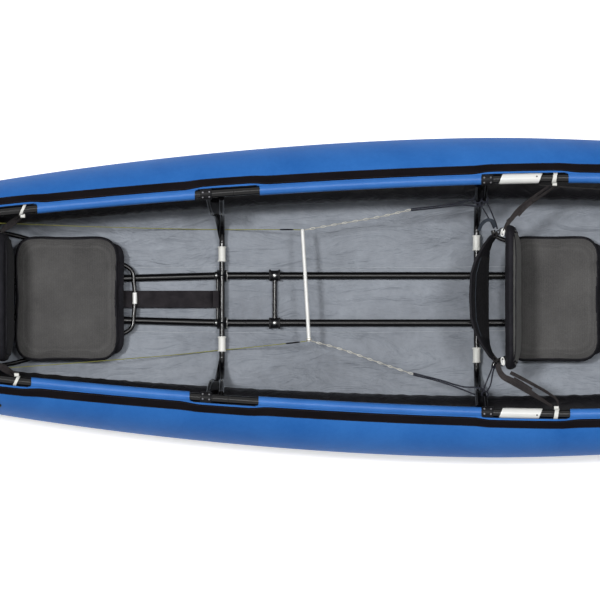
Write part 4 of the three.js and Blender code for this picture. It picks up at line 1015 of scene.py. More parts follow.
def slanted_sleeve(side, start, end, outer, inner, slant):
    """A hollow sleeve whose ends lean: each point round it moves along by slant times its y."""
    turn = np.arange(40) * 2 * pi / 40
    share = np.linspace(0, 1, 24)[:, None]
    lean = slant * outer * np.cos(turn) * sides[side]
    x = start + (end - start) * share + lean
    swell = outer - 0.0008 * (np.abs(share - 0.5) > 0.49)
    return round_gunwale(side, x, turn, swell[..., None], inner)


for side in sides:
    lock = slanted_sleeve(side, 0.0105, 0.117, 0.014, 0.0128, 0.37)
    hole = to_side(gunwale_line(np.array(0.107)) + (0, 0.0042, 0.013), side)
    pin = dome(hole, 0.0024, 0.0008, (0, 0.3 * sides[side], 1), finish=1)
    make_piece(f"{side}_lock_sleeve", [lock, pin], [silver_tube, black_plastic], f"{side}_gunwale_lock",
               f"{side}_gunwale_lock")
print("gunwale tubes of 23 mm")

# %% [markdown]
# Two keelsons run the length of the floor and carry the ribs. A crossbar keeps them apart, with a
# round clamp on each.

# %% Keelsons and crossbar
keelson_shares = np.array([(0, 1), (0.3, 1), (0.45, 0.8), (0.57, 0.62), (0.68, 0.46), (0.77, 0.32),
                           (0.85, 0.16), (0.91, 0)])


def keelson_half(x):
    share = np.interp(np.abs(x) / half_length, *keelson_shares.T)
    return 0.0136 + (0.064 - 0.0136) * share


def keelson_line(x):
    x = np.asarray(x, float)
    half = keelson_half(x)
    return np.stack([x, half, floor_height(x, half + 0.012) + 0.0103], axis=-1)


def on_keelson(x):
    """The keelson's centre at one place along the boat."""
    return keelson_line(np.array([x]))[0]


reach = 0.91 * half_length
for side in sides:
    path = smooth_path(keelson_line(np.linspace(-reach, reach, 45)), 160)
    seams = [tube(to_side(keelson_line(x + np.array([-0.0009, 0.0009])), side), 0.01022, 24, finish=1)
             for x in (-1.36, -0.672, 0.02, 0.71, 1.4)]
    parts = [tube(to_side(path, side), 0.01, 24), *seams]
    make_piece(f"{side}_keelson_tube", parts, [black_tube, black_plastic], "hull",
               f"{side}_keelson")

cross_x = -0.595
middle = on_keelson(cross_x)
bar = tube(np.array([(cross_x, y, middle[2]) for y in np.linspace(-0.056, 0.056, 5)]), 0.006, 20)
clamps = [hollow(to_side(keelson_line(cross_x + np.linspace(-0.015, 0.015, 5)), side), 0.0138, 0.0104, 28,
                 finish=1) for side in sides]
clamps += [block(to_side(middle + (lean, 0.001, 0.0068), side), (0.005, 0.03, 0.013), bevel=0.2, finish=1)
           for side in sides for lean in (-0.0125, 0.0125)]
bolts = [dome(to_side(middle + (0, 0, 0.0138), side), 0.006, 0.0032, finish=2) for side in sides]
make_piece("crossbar_with_clamps", [bar, *clamps, *bolts], [black_tube, black_plastic, bolt_steel],
           "hull", "keel_crossbar")
print("keelsons", round(2 * float(middle[1]) * 1000), "mm apart")

# %% [markdown]
# A rib is a floor tube across the keelsons, and an arm on each side that folds on a hinge hidden
# under a white sliding sleeve. The arm rises inside the sponson to a clamp round the gunwale, and
# a thinner brace forks off it to the same clamp. Aluminium webs and black clamps join them.

# %% The ribs' places
rib_radius = 0.0075
ribs = {
    "rib_aft": {"x": -0.737, "start": 0.101, "reach": -0.041, "tie": True},
    "rib_mid": {"x": -0.05, "start": 0.131, "reach": 0.025, "tie": False},
    "rib_fore": {"x": 0.637, "start": 0.101, "reach": 0.041, "tie": True},
}


def rib_height(x):
    return on_keelson(x)[2] + 0.0178


def sponson_inner(x):
    return 0.6094 * float(half_beam(np.array(x)))


def toward_gunwale(x, distance, angle):
    """A point near the gunwale's centre line: inboard by distance cos(angle), down by its sine."""
    return gunwale_line(x) - (0, distance * cos(radians(angle)), distance * sin(radians(angle)))

# %% Rib floors
saddle = np.array([(-0.0155, -0.0098), (-0.0155, 0.002), (-0.0125, 0.0085), (-0.006, 0.0225), (0, 0.0265),
                   (0.006, 0.0225), (0.0125, 0.0085), (0.0155, 0.002), (0.0155, -0.0098), (0.0112, -0.0098),
                   (0.0106, 0.001), (0.0075, 0.0078), (0, 0.0106), (-0.0075, 0.0078), (-0.0106, 0.001),
                   (-0.0112, -0.0098)])
shrink = np.array([0.94, 1, 1, 0.94])[:, None, None]
for name, rib in ribs.items():
    x, hinge, z = rib["x"], rib["start"] + 0.0205, rib_height(rib["x"])
    parts = [tube(np.array([(x, y, z) for y in np.linspace(-hinge, hinge, 9)]), rib_radius, 24)]
    knot = on_keelson(x)
    path = np.array([(x + share, knot[1], knot[2]) for share in (-0.013, -0.011, 0.011, 0.013)])
    for side in sides:
        parts.append(section_along(to_side(path, side), saddle * shrink, (0, 0, 1), 1))
        plate_at = to_side((x + 0.0133, knot[1], knot[2] + 0.0035), side)
        parts.append(block(plate_at, (0.0012, 0.028, 0.013), finish=2))
    if rib["tie"]:
        tie_x, tie_z = x - 0.0124, z - 0.011
        across = np.linspace(-knot[1] + 0.007, knot[1] - 0.007, 5)
        parts.append(tube(np.array([(tie_x, y, tie_z) for y in across]), 0.004, 16))
        for y in (-knot[1], knot[1]):
            foot = np.array((tie_x - 0.0025, y, knot[2] + 0.0094))
            parts += [block(foot, (0.012, 0.021, 0.005), bevel=0.2, finish=1),
                      dome(foot + (0, 0, 0.0025), 0.0044, 0.0027, finish=2)]
    make_piece(f"{name}_floor_tube", parts, [black_tube, black_plastic, bolt_steel], "hull",
               f"{name}_floor")
print("floor tubes at", [round(float(rib_height(rib["x"])), 4) for rib in ribs.values()])

# %% Rib arms and their clamps
def clamp_round(x, length, side):
    """Two half shells round the gunwale, with two small bolts through each end."""
    xs = x + length * np.array([-0.5, -0.46, -0.2, 0, 0.2, 0.46, 0.5])
    outer = 0.016 - 0.001 * np.array([1, 0, 0, 0, 0, 0, 1])
    parts = [hollow(to_side(gunwale_line(xs), side), outer, 0.012, 28, finish=1)]
    for place in (-0.28, 0.28):
        for lean, out in ((0.0042, 0.0153), (-0.0095, 0.0128)):
            spot = gunwale_line(np.array(x + place * length)) + (0, lean, out)
            parts.append(dome(to_side(spot, side), 0.0026, 0.0018, (0, lean * sides[side], out), finish=2))
    return parts


for name, rib in ribs.items():
    x, reach = rib["x"], rib["reach"]
    hinge, z, far = rib["start"] + 0.0205, rib_height(rib["x"]), rib["x"] + rib["reach"]
    arm_y, brace_y = sponson_inner(x) - 0.01, sponson_inner(far) - 0.0085
    arm = smooth_path([(x, hinge + 0.0003, z), (x, hinge + 0.026, z), (x, hinge + 0.041, z),
                       (x, arm_y - 0.026, z + 0.026), (x, arm_y, 0.11), (x, arm_y, 0.205),
                       toward_gunwale(x, 0.017, 35)], 90)
    knee = max(0.151, hinge + 0.0335)
    brace = smooth_path([
        (x, knee, z), (x + 0.12 * reach, knee + 0.02, z + 0.004),
        (x + 0.25 * reach, brace_y - 0.024, z + 0.024), (x + 0.42 * reach, brace_y - 0.003, 0.11),
        (x + 0.66 * reach, brace_y, 0.2), toward_gunwale(far - 0.12 * reach, 0.014, 40)], 70)
    share, across = np.linspace(0.26, 0.9, 30), np.linspace(0, 1, 7)[None, :, None]
    on_arm, on_brace = (np.stack([np.interp(share, np.linspace(0, 1, len(line)), line[:, k])
                                  for k in range(3)], axis=1) for line in (arm, brace))
    web = on_arm[:, None] * (1 - across) + on_brace[:, None] * across
    lift = np.cross(np.gradient(web, axis=0), np.gradient(web, axis=1))
    lift *= 0.0012 / np.maximum(np.linalg.norm(lift, axis=2, keepdims=True), 1e-9)
    for side in sides:
        parts = [tube(to_side(arm, side), rib_radius, 20, up=(1, 0, 0)),
                 tube(to_side(brace, side), 0.006, 16, up=(1, 0, 0)), *clamp_round(far, 0.031, side),
                 wall_on(side, web + lift, web - lift, finish=1)]
        make_piece(f"{name}_{side}_folding_arm", parts, [black_tube, black_plastic, dark_steel], "hull",
                   f"{name}_{side}_arm")
print("arms", 6)

# %% Hinge sleeves
sleeve_rows = np.array([0, 0.0006, 0.003, 0.0036, 0.0042, 0.0065, 0.02,
                        0.0345, 0.0368, 0.0374, 0.038, 0.0404, 0.041])
sleeve_radii = np.array([10.9, 11.6, 11.6, 11.0, 10.2, 9.9, 9.9, 9.9, 10.2, 11.0, 11.6, 11.6, 10.9]) / 1000
for name, rib in ribs.items():
    for side in sides:
        path = np.array([(rib["x"], rib["start"] + share, rib_height(rib["x"])) for share in sleeve_rows])
        make_piece(f"{name}_{side}_white_sleeve", [hollow(to_side(path, side), sleeve_radii, 0.0084, 32)],
                   [white_plastic], f"{name}_{side}_sleeve", f"{name}_{side}_sleeve")
print("sleeves", 6)

# %% [markdown]
# The foot bar steers. Two thin lines run aft from its ends to the rudder, and two chains run forward, so that
# its place can be changed by a link, into bungees that keep the lines tight. Each line is cut in two under the
# aft deck, and the length of every cord is printed.

# %% Foot bar
bar_middle = np.array([-0.511, 0.034, 0.12])
slant = radians(3.4)
bar_way = np.array([-sin(slant), cos(slant), 0])
bar_path, bar_radius = round_ends(bar_middle + np.linspace(-0.153, 0.153, 31)[:, None] * bar_way, 0.005)
ring_at = bar_middle - 0.146 * bar_way
collar = hollow(ring_at + np.linspace(-0.0035, 0.0035, 5)[:, None] * bar_way,
                np.array([0.0062, 0.0072, 0.0074, 0.0072, 0.0062]), 0.005, 24, up=(0, 0, 1), finish=1)
make_piece("steering_bar", [tube(bar_path, bar_radius, 24), collar], [silver_tube, chain_steel],
           "foot_bar", "foot_bar")
print("foot bar", round(path_length(bar_path), 3), "m")

# %% Rudder lines
port_line = np.array([
    (-525.3, 183.7, 120), (-560, 185, 104), (-610, 186, 76), (-660, 187, 49), (-700, 187.5, 31),
    (-737, 188, 23.6), (-775, 188.5, 24.5), (-830, 189, 31), (-900, 190, 45), (-1000, 191.5, 75),
    (-1100, 193, 111), (-1200, 195, 155), (-1300, 197, 205), (-1380, 198, 243), (-1470, 194, 269),
    (-1600, 180, 283), (-1750, 158, 294), (-1900, 132, 304), (-2050, 104, 316), (-2200, 66, 333),
    (-2290, 37, 352), (-2340, 26, 365.5), (-2362, 33, 370.5), (-2385, 46, 373.3), (-2420, 62, 376),
    (-2469, 71.4, 377.5)]) / 1000
starboard_line = np.array([
    (-507.5, -115.7, 120), (-545, -120, 104), (-600, -125, 77), (-655, -130, 49), (-700, -134, 26),
    (-737, -137, 18.5), (-775, -141, 20), (-830, -147, 29), (-900, -154, 45), (-1000, -163, 75),
    (-1100, -172, 111), (-1200, -181, 155), (-1300, -189, 205), (-1380, -193, 243),
    (-1470, -192, 269), (-1600, -180, 283), (-1750, -158, 294), (-1900, -132, 304),
    (-2050, -104, 316), (-2200, -66, 333), (-2290, -37, 352), (-2340, -26, 365.5),
    (-2362, -33, 370.5), (-2385, -46, 373.3), (-2420, -62, 376), (-2469, -71.4, 377.5)]) / 1000

split_x, slack_end_x, deck_exit_x = -1.85, -0.7, -2.36
for side, points in (("port", port_line), ("starboard", starboard_line)):
    path = smooth_path(points, 300)
    split, slack_end, deck_exit = (int(np.argmin(np.abs(path[:, 0] - x)))
                                   for x in (split_x, slack_end_x, deck_exit_x))
    at_bar = ("foot_bar", "hull", tuple(path[0]), tuple(path[slack_end]))
    at_rudder = ("hull", "rudder_head", tuple(path[deck_exit]), tuple(path[-1]))
    for name, run, bends in (("steering_line", path[:split + 1], at_bar),
                             ("rudder_end_line", path[split:], at_rudder)):
        cord = make_piece(f"{side}_{name}", [tube(run, 0.001, 8)], [olive_line], bends,
                          f"{side}_rudder_line")
        lay_cord(cord, run)
    ferrule = tube(path[3:10], np.r_[0.0014, np.full(5, 0.0019), 0.0014], 12)
    make_piece(f"{side}_line_ferrule", [ferrule], [black_plastic], at_bar)

# %% Chains
port_chain = np.array([(-514.2, 183.7, 120), (-416.6, 200, 134), (-310.5, 218, 152),
                       (-229, 236, 169)]) / 1000
starboard_chain = np.array([(-495.9, -115.7, 120), (-416, -138, 136), (-310.5, -176, 156),
                            (-223, -206, 171)]) / 1000


def chain(points, pitch=0.0145, width=0.0068, wire=0.0012):
    """Long rings of wire, every second one turned a quarter round the path. All links are one
    array: links x points round the ring x points round the wire."""
    path = smooth_path(points, 400)
    count = int(path_length(path) / pitch)
    middle = even_path(path, 2 * count + 1)[1::2]
    tangent, side, top = path_frame(middle, (0, 0, 1))
    round_ring = np.arange(10) * 2 * pi / 10
    round_wire = np.arange(5) * 2 * pi / 5
    odd = (np.arange(count) % 2)[:, None]
    flat = np.where(odd, side, top)
    off = np.where(odd, top, side)
    half_long, half_wide = pitch / 2 + wire * 1.1, width / 2 - wire
    forward, sideways = (wave(round_ring)[None, :, None] * way[:, None]
                         for wave, way in ((np.cos, tangent), (np.sin, flat)))
    centre = middle[:, None] + (forward * (half_long - wire) + sideways * half_wide)
    spoke = (forward + sideways)[:, :, None]
    links = (centre[:, :, None] + wire * (np.cos(round_wire)[:, None] * spoke
                                          + np.sin(round_wire)[:, None] * off[:, None, None]))
    ring = grid_faces(11, 5, True)
    ring = np.where(ring >= 50, ring - 50, ring)
    points = links.reshape(-1, 3)
    faces = (ring[None] + 50 * np.arange(count)[:, None, None]).reshape(-1, 4)
    uv = np.tile([(0, 0), (wire, 0), (wire, wire), (0, wire)], (len(faces), 1))
    return closed_part(points, [faces], uv, 0), path


for side, points in (("port", port_chain), ("starboard", starboard_chain)):
    links, path = chain(points)
    bends = ("foot_bar", "hull", tuple(path[0]), tuple(path[-1]))
    make_piece(f"{side}_link_chain", [links], [chain_steel], bends, f"{side}_chain")
    print(side, "chain", round(path_length(path), 3), "m")

# %% Steering bungees
port_bungee = np.array([
    (-228, 233.8, 169), (-150, 241, 190), (-90, 247, 207), (-56, 243.5, 216), (-40, 246, 219),
    (-34, 254.6, 219.5), (-40, 263.2, 219), (-56, 264.5, 216), (-90, 255, 207), (-150, 246, 190),
    (-228, 238.2, 169)]) / 1000
starboard_bungee = np.array([
    (-221.9, -203.8, 171), (-150, -222.5, 190), (-90, -240.5, 207), (-56, -243, 216), (-40, -246, 219),
    (-34, -254.6, 219.5), (-40, -263.2, 219), (-56, -262, 216), (-90, -248.5, 207),
    (-150, -227, 190), (-221.9, -208.2, 171)]) / 1000

for side, points in (("port", port_bungee), ("starboard", starboard_bungee)):
    path = smooth_path(points, 160)
    loop = make_piece(f"{side}_bungee_loop", [tube(path, 0.002, 12)], [bungee_sheath], "hull",
                      f"{side}_steering_bungee")
    lay_cord(loop, path)

# %% [markdown]
# The seats are foam in sewn covers: mesh on top, black cloth round the sides, and tape bound over
# the edge between them. A sewn cushion bulges between its seams, so the shape is not drawn: a
# slightly smaller body is remeshed evenly and blown up a little as cloth, and the points that moved
# too far are held back. The tape is laid on the result afterwards, because remeshing would erase it.

# %% Cushion outline
def seat_outline(length, width, turn, grow=0.0, power=6.5, drawn=0.003):
    """A rounded rectangle |x/a|^p + |y/b|^p = 1, drawn in by a few millimetres at its sides."""
    dx, dy = np.cos(turn), np.sin(turn)
    reach = (np.abs(dx * 2 / length) ** power + np.abs(dy * 2 / width) ** power) ** (-1 / power)
    reach = reach - drawn * np.cos(2 * turn) ** 2 + grow
    return np.stack([dx * reach, dy * reach], axis=-1)


def cushion_part(middle, length, width, bottom, layers, power, count=120):
    """Outlines of a cushion's layers, from the middle of its underside to its crown: each layer has
    a share of the outline's size and a height."""
    turn = np.arange(count) * 2 * pi / count
    outline = seat_outline(length, width, turn, power=power)
    rows = [np.column_stack([outline * size + (middle, 0), np.full(count, bottom + height)])
            for size, height in layers]
    return loft(np.stack(rows))


def swell(piece, voxel, push, limit, frames=20):
    """Blows a closed piece up as cloth with no gravity, and lets no point move past the limit."""
    remesh = piece.modifiers.new("even", "REMESH")
    remesh.mode, remesh.voxel_size = "VOXEL", voxel
    apply_modifiers(piece)
    rest = read_points(piece)
    cloth = piece.modifiers.new("cloth", "CLOTH")
    cloth.settings.use_pressure = True
    cloth.settings.uniform_pressure_force = push
    cloth.settings.effector_weights.gravity = 0
    cloth.settings.quality = 5
    cloth.point_cache.frame_end = frames
    for step in range(1, frames + 1):
        bpy.context.scene.frame_set(step)
    apply_modifiers(piece)
    bpy.context.scene.frame_set(1)
    moved = read_points(piece) - rest
    far = np.linalg.norm(moved, axis=1, keepdims=True)
    write_points(piece, rest + moved * np.minimum(1, limit / np.maximum(far, 1e-9)))


def read_points(piece):
    flat = np.empty(len(piece.data.vertices) * 3)
    piece.data.vertices.foreach_get("co", flat)
    return flat.reshape(-1, 3)


def write_points(piece, points):
    piece.data.vertices.foreach_set("co", np.ascontiguousarray(points).ravel())
    piece.data.update()


def apply_modifiers(piece):
    bpy.context.view_layer.update()
    ready = bpy.data.meshes.new_from_object(piece.evaluated_get(bpy.context.evaluated_depsgraph_get()))
    piece.modifiers.clear()
    old, piece.data = piece.data, ready
    bpy.data.meshes.remove(old)


def smooth_once(piece):
    subdivision = piece.modifiers.new("smooth", "SUBSURF")
    subdivision.levels = subdivision.render_levels = 1
    apply_modifiers(piece)
    piece.data.shade_smooth()


def paint_faces(piece, chosen, index):
    """Gives the chosen faces, a mask over all of them, the finish with this index."""
    slots = np.empty(len(piece.data.polygons), np.int32)
    piece.data.polygons.foreach_get("material_index", slots)
    piece.data.polygons.foreach_set("material_index", np.where(chosen, index, slots).astype(np.int32))


def face_facts(piece):
    count = len(piece.data.polygons)
    centre, normal = np.empty(count * 3), np.empty(count * 3)
    piece.data.polygons.foreach_get("center", centre)
    piece.data.polygons.foreach_get("normal", normal)
    return centre.reshape(-1, 3), normal.reshape(-1, 3)


def laid_on(path, piece, lift=0.0):
    """Moves each point of a path to the piece's nearest vertex, then smooths the path a little."""
    surface = read_points(piece)
    far = ((path[:, None] - surface[None]) ** 2).sum(axis=2)
    found = surface[far.argmin(axis=1)]
    for _ in range(6):
        found = (np.roll(found, 1, axis=0) + 2 * found + np.roll(found, -1, axis=0)) / 4
    return found + (0, 0, lift)


def closed_tube(path, radius, sides=10, finish=0):
    """A tube whose path returns to its start; its circles stand square to the path."""
    tangent = np.roll(path, -1, axis=0) - np.roll(path, 1, axis=0)
    tangent /= np.linalg.norm(tangent, axis=1, keepdims=True)
    side = np.cross((0, 0, 1), tangent)
    side /= np.linalg.norm(side, axis=1, keepdims=True)
    top = np.cross(tangent, side)
    turn = np.arange(sides) * 2 * pi / sides
    spoke = np.cos(turn)[:, None] * side[:, None] + np.sin(turn)[:, None] * top[:, None]
    grid = path[:, None] + radius * spoke
    faces = grid_faces(len(path) + 1, sides, True) % (len(path) * sides)
    uv = grid_uv(np.concatenate([grid, grid[:1]]), True)
    return closed_part(grid.reshape(-1, 3), [faces], uv, finish)

# %% Seat cushions
seats = {
    "rear": {"x": -1.15, "length": 0.290, "width": 0.352, "bottom": 0.0408, "cushion": (-1.1475, 0.308)},
    "front": {"x": 0.147, "length": 0.295, "width": 0.354, "bottom": 0.0376, "cushion": (0.163, 0.279)},
}
base_layers = [(0.02, 0.0), (0.4, 0.0), (0.9, 0.0), (0.975, 0.003), (1, 0.0085), (0.975, 0.0135),
               (0.9, 0.016), (0.02, 0.016)]
top_layers = [(0.02, 0.009), (0.9, 0.009), (0.97, 0.011), (0.995, 0.0155), (0.988, 0.021), (1, 0.029),
              (0.988, 0.0335), (0.955, 0.0365), (0.9, 0.0385), (0.72, 0.0412), (0.42, 0.043), (0.02, 0.0435)]
for name, seat in seats.items():
    x, length = seat["cushion"]
    end, length, width, bottom = length / 2, length - 0.004, seat["width"] - 0.004, seat["bottom"]
    top_x, top_length = x - 0.009, length - 0.018
    base = cushion_part(x, length, width - 0.036, bottom, base_layers, 9)
    top = cushion_part(top_x, top_length, width, bottom, top_layers, 6.5)
    cushion = make_piece(f"{name}_cushion", [base, top], [back_cloth, seat_mesh], "hull",
                         f"{name}_seat_cushion")
    swell(cushion, 0.0045, 4, 0.005)
    smooth_once(cushion)
    points = read_points(cushion)
    points[:, 2] = np.clip(points[:, 2], bottom, bottom + 0.0458)
    points[:, 0] = np.clip(points[:, 0], x - end, x + end)
    write_points(cushion, points)
    centre, normal = face_facts(cushion)
    turn = np.arctan2(centre[:, 1], centre[:, 0] - top_x)
    limit = np.linalg.norm(seat_outline(top_length, width, turn), axis=1) - 0.0095
    inside = np.linalg.norm(centre[:, :2] - (top_x, 0), axis=1) < limit
    paint_faces(cushion, inside & (normal[:, 2] > 0.3), 1)
    turn = np.arange(320) * 2 * pi / 320
    parts = []
    for middle, long, wide, grow, power, high, lift, radius in (
            (top_x, top_length, width, -0.0075, 6.5, 0.038, -0.0003, 0.0022),
            (top_x, top_length, width, 0, 6.5, 0.026, 0, 0.0016),
            (x, length, width - 0.036, 0.0005, 9, 0.009, 0, 0.0017)):
        outline = seat_outline(long, wide, turn, grow, power) + (middle, 0)
        line = np.column_stack([outline, np.full(320, bottom + high)])
        parts.append(closed_tube(laid_on(line, cushion, lift), radius))
    make_piece(f"{name}_cushion_binding", parts, [binding_tape], "hull")
    print(name, "cushion", len(cushion.data.polygons), "faces")

# %% [markdown]
# Under each cushion a bent tube spreads the load over the keelsons. A strap of webbing runs from
# under the cushion, below the frame's front bar, and round a tie bar on the rib ahead, so that the
# seat can't slide.

# %% Seat frames
for name, seat in seats.items():
    length, x = seat["length"], seat["x"]
    front = x + length / 2 + 0.033
    legs = 0.09 if name == "rear" else 0.005
    rear = x - length / 2
    height = on_keelson(front)[2] + 0.016 * cos(pi / 8) + 0.0003

    def leg_height(leg_x, y):
        on_floor = float(floor_height(np.array(leg_x), np.array(y + 0.006))) + 0.008
        return max(height, on_floor)

    half = np.array([(front, 0, height), (front - 0.003, 0.0405, height), (front - 0.012, 0.081, height),
                     (x, 0.1265, height), (rear, 0.172, leg_height(rear, 0.172)),
                     (rear - legs, 0.186, leg_height(rear - legs, 0.186))])
    path = smooth_path(np.vstack([mirror_y(half)[::-1], half[1:]]), 200)
    parts = [tube(path, 0.006, 20), tube(path[97:104], 0.00615, 20, finish=1)]
    make_piece(f"{name}_seat_hoop", parts, [black_tube, silver_tube], "hull",
               f"{name}_seat_frame")
    seat["front"], seat["height"] = front, height
    print(name, "hoop", round(path_length(path), 3), "m")

# %% Seat straps
for name, rib in (("rear", ribs["rib_aft"]), ("front", ribs["rib_fore"])):
    seat = seats[name]
    tie_x, tie_z = rib["x"] - 0.0124, rib_height(rib["x"]) - 0.011
    loop = 0.004 + 0.0006 + 0.00125
    under = seat["height"] - 0.006 - 0.0006 - 0.00125
    low = seat["bottom"] - 0.0003 - 0.00125
    start = seat["x"] + seat["length"] / 2 - 0.033
    turn = np.linspace(-quarter, quarter, 9)
    points = np.vstack([
        [(start, 0, low), (start + 0.005, 0, low), (seat["front"] - 0.0165, 0, under + 0.0025),
         (seat["front"], 0, under), (tie_x - 4 * loop, 0, under), (tie_x - 2 * loop, 0, tie_z - loop)],
        np.column_stack([tie_x + loop * np.cos(turn), 0 * turn, tie_z + loop * np.sin(turn)]),
        [(tie_x - 2 * loop, 0, tie_z + loop)]])
    dense = smooth_path(points, 140)
    band = strap(dense, 0.046, 0.0023, side=(0, 1, 0))
    make_piece(f"{name}_seat_webbing", [band], [webbing], "hull", f"{name}_seat_strap")
    print(name, "strap", round(path_length(dense), 3), "m")

# %% [markdown]
# A backrest is a padded lumbar cushion, thicker at its foot and leaning aft. Its rear is cloth, and its front
# is mesh on the front seat. On the rear seat its front is the dark pile cloth instead, which paints the shade
# that falls on it there. The front and the rear meet at a seam in one leaning plane: the points near it are
# moved on to it, so that the two finishes part in a clean line. Behind the pad a firm curved panel, bound
# round its edge, joins it at both ends, and webbing holds the ends to clips on the gunwales.

# %% Backrest pads
backs = {
    "rear": {"x": -1.318, "half": 0.178, "clips": {"port": -1.268, "starboard": -1.284}},
    "front": {"x": 0.046, "half": 0.200, "clips": {"port": 0.155, "starboard": 0.159}},
}
pad_bottom, pad_height = 0.102, 0.185
seam_ahead, seam_reach = 0.0047, 0.0023


def pad_surface(x, half, count=64, around=40):
    """Sections across the boat. Each is a rounded wedge: its front leans back by a seventh of its
    height and its rear is nearly upright. Towards the ends the sections grow lower and thinner."""
    across = np.linspace(-1, 1, count)[:, None]
    size = np.sqrt(np.maximum(0.02, 1 - np.abs(across) ** 4.5))
    turn = np.arange(around)[None] * 2 * pi / around
    c, s = np.cos(turn), np.sin(turn)
    up = np.sign(s) * np.abs(s) ** 0.55
    out = np.sign(c) * np.abs(c) ** 0.7
    thick = (0.0155 - 0.0045 * up) * (0.55 + 0.45 * size)
    lean = 0.0005 - 0.0075 * up * size
    sweep = -0.003 * (1 - across ** 2) - 0.012 * np.abs(across) ** 6
    px = x + lean + thick * out + sweep
    pz = pad_bottom + pad_height / 2 + pad_height / 2 * up * (0.35 + 0.65 * size)
    return np.stack([px, half * across + 0 * turn, pz], axis=-1)


def ahead_of_seam(at, x):
    """How far points stand ahead of the leaning plane in which the pad's front is sewn on."""
    lean = 0.0075 * (at[:, 2] - pad_bottom - pad_height / 2) / (pad_height / 2)
    return at[:, 0] - x - seam_ahead + lean


for name, back in backs.items():
    body = loft(pad_surface(back["x"], back["half"] - 0.003))
    # The rear pad's front takes the black pile cloth where mesh would be: painted shade.
    pad = make_piece(f"{name}_lumbar_pad", [body], [back_cloth, pad_mesh if name == "front" else velvet],
                     f"{name}_backrest", f"{name}_backrest_pad")
    swell(pad, 0.0055, 4, 0.004)
    smooth_once(pad)
    points = read_points(pad)
    gap = ahead_of_seam(points, back["x"])
    points[:, 0] -= np.where(np.abs(gap) < seam_reach, gap, 0)
    write_points(pad, points)
    centre, _ = face_facts(pad)
    paint_faces(pad, ahead_of_seam(centre, back["x"]) > 0.0003, 1)
    print(name, "pad", len(pad.data.polygons), "faces")

# %% [markdown]
# The panel behind each pad is a firm padded shell of black pile cloth. Its foot stands 40 mm behind
# the pad, its top leans aft, and its ends curve forward to meet the pad's. Seen from above it shows
# as a broad dark band, so its outline comes from there: how far aft its top and its foot lie, at
# seven places from the middle to the end.

# %% Backrest panels
panel_places = np.array([(0, -116.5, -68), (0.343, -113.5, -68), (0.54, -102.7, -67), (0.72, -86.5, -65),
                         (0.84, -72, -58), (0.93, -60, -47), (1, -50, -39)]) * (1, 0.001, 0.001)


def panel_middle(x, half, u):
    """Foot and top of the panel's middle surface at u, -1 to 1 across the boat."""
    top_x, foot_x = (x + np.interp(np.abs(u), panel_places[:, 0], panel_places[:, k]) for k in (1, 2))
    bend = np.clip((np.abs(u) - 0.8) / 0.2, 0, 1) ** 2
    low, high = 0.128 + 0.034 * u ** 2 + 0.012 * bend, 0.259 - 0.034 * u ** 2 - 0.02 * bend
    y = (half - 0.024) * u
    return np.stack([foot_x, y, low], axis=-1), np.stack([top_x, y, high], axis=-1)


def panel_rings(x, half, count=101, around=48):
    """Sections across the boat: along = L/2 |cos|^0.45, thick = h |sin|^0.7, closing at both ends."""
    u = np.linspace(-1, 1, count)
    foot, top = panel_middle(x, half, u)
    length = np.linalg.norm(top - foot, axis=1)[:, None, None]
    way = ((top - foot) / length[:, 0])[:, None]
    ahead = np.stack([way[..., 2], 0 * way[..., 1], -way[..., 0]], axis=-1)
    close = np.sqrt(1 - np.clip((np.abs(u) - 0.9) / 0.1, 0, 0.985) ** 2)[:, None, None]
    turn = (np.arange(around) * 2 * pi / around)[None, :, None]
    c, s = np.cos(turn), np.sin(turn)
    along = np.sign(c) * np.abs(c) ** 0.45 * length / 2 * (0.35 + 0.65 * close)
    quilt = 1 - 0.22 * np.exp(-((along / length - 0.1) / 0.035) ** 2) * (np.abs(u) < 0.62)[:, None, None]
    thick = np.sign(s) * np.abs(s) ** 0.7 * 0.0058 * close * quilt
    return ((foot + top) / 2)[:, None] + way * along + ahead * thick


for name, back in backs.items():
    x, half = back["x"], back["half"]
    rings = panel_rings(x, half)
    around = rings.shape[1]
    shell = loft(rings)
    count = len(shell["faces"][0])
    roll = np.concatenate([rings[4:-4, 0], rings[-5:3:-1, around // 2]])
    roll = even_path(np.vstack([roll, roll[:1]]), 321)[:-1]
    parts = [shell, closed_tube(roll, 0.0036, finish=1)]
    seam = even_path(rings[20:-20, around // 4 - 3] + (0.0002, 0, 0.0004), 120)
    parts.append(tube(seam, 0.0009, 6, finish=3))
    tab = np.array([(x - 0.049, half - 0.034, 0.193), (x - 0.036, half - 0.028, 0.192),
                    (x - 0.0215, half - 0.026, 0.191)])
    parts += [strap(to_side(tab, side), 0.022, 0.0024, side=(0, 0, 1), finish=1) for side in sides]
    panel = make_piece(f"{name}_back_panel", parts, [velvet, binding_tape, back_cloth, slate_tape],
                       f"{name}_backrest", f"{name}_backrest_shell")
    centre, _ = face_facts(panel)
    index = np.arange(len(panel.data.polygons))
    toward_ends = np.abs(centre[:, 1]) > 0.62 * (half - 0.024)
    paint_faces(panel, (index < count + 2) & toward_ends, 2)
    print(name, "panel", len(index), "faces")

# %% [markdown]
# Where the pad's mesh meets its cloth a thin piping is sewn in. It runs along the top and the foot
# of the leaning front and closes at both ends, laid on the pad after it was blown up.

# %% Piping of the pads
for name, back in backs.items():
    pad = bpy.data.objects[f"{name}_lumbar_pad"]
    share = np.arange(240) * 2 * pi / 240
    c, s = np.cos(share), np.sin(share)
    y = (back["half"] - 0.017) * np.sign(c) * np.abs(c) ** 0.3
    z = pad_bottom + pad_height / 2 + (pad_height / 2 - 0.012) * np.sign(s) * np.abs(s) ** 0.3
    line = np.stack([back["x"] + 0.03 + 0 * y, y, z], axis=-1)
    make_piece(f"{name}_pad_piping", [closed_tube(laid_on(line, pad), 0.0019)], [binding_tape],
               f"{name}_backrest")
print("piping", 2)
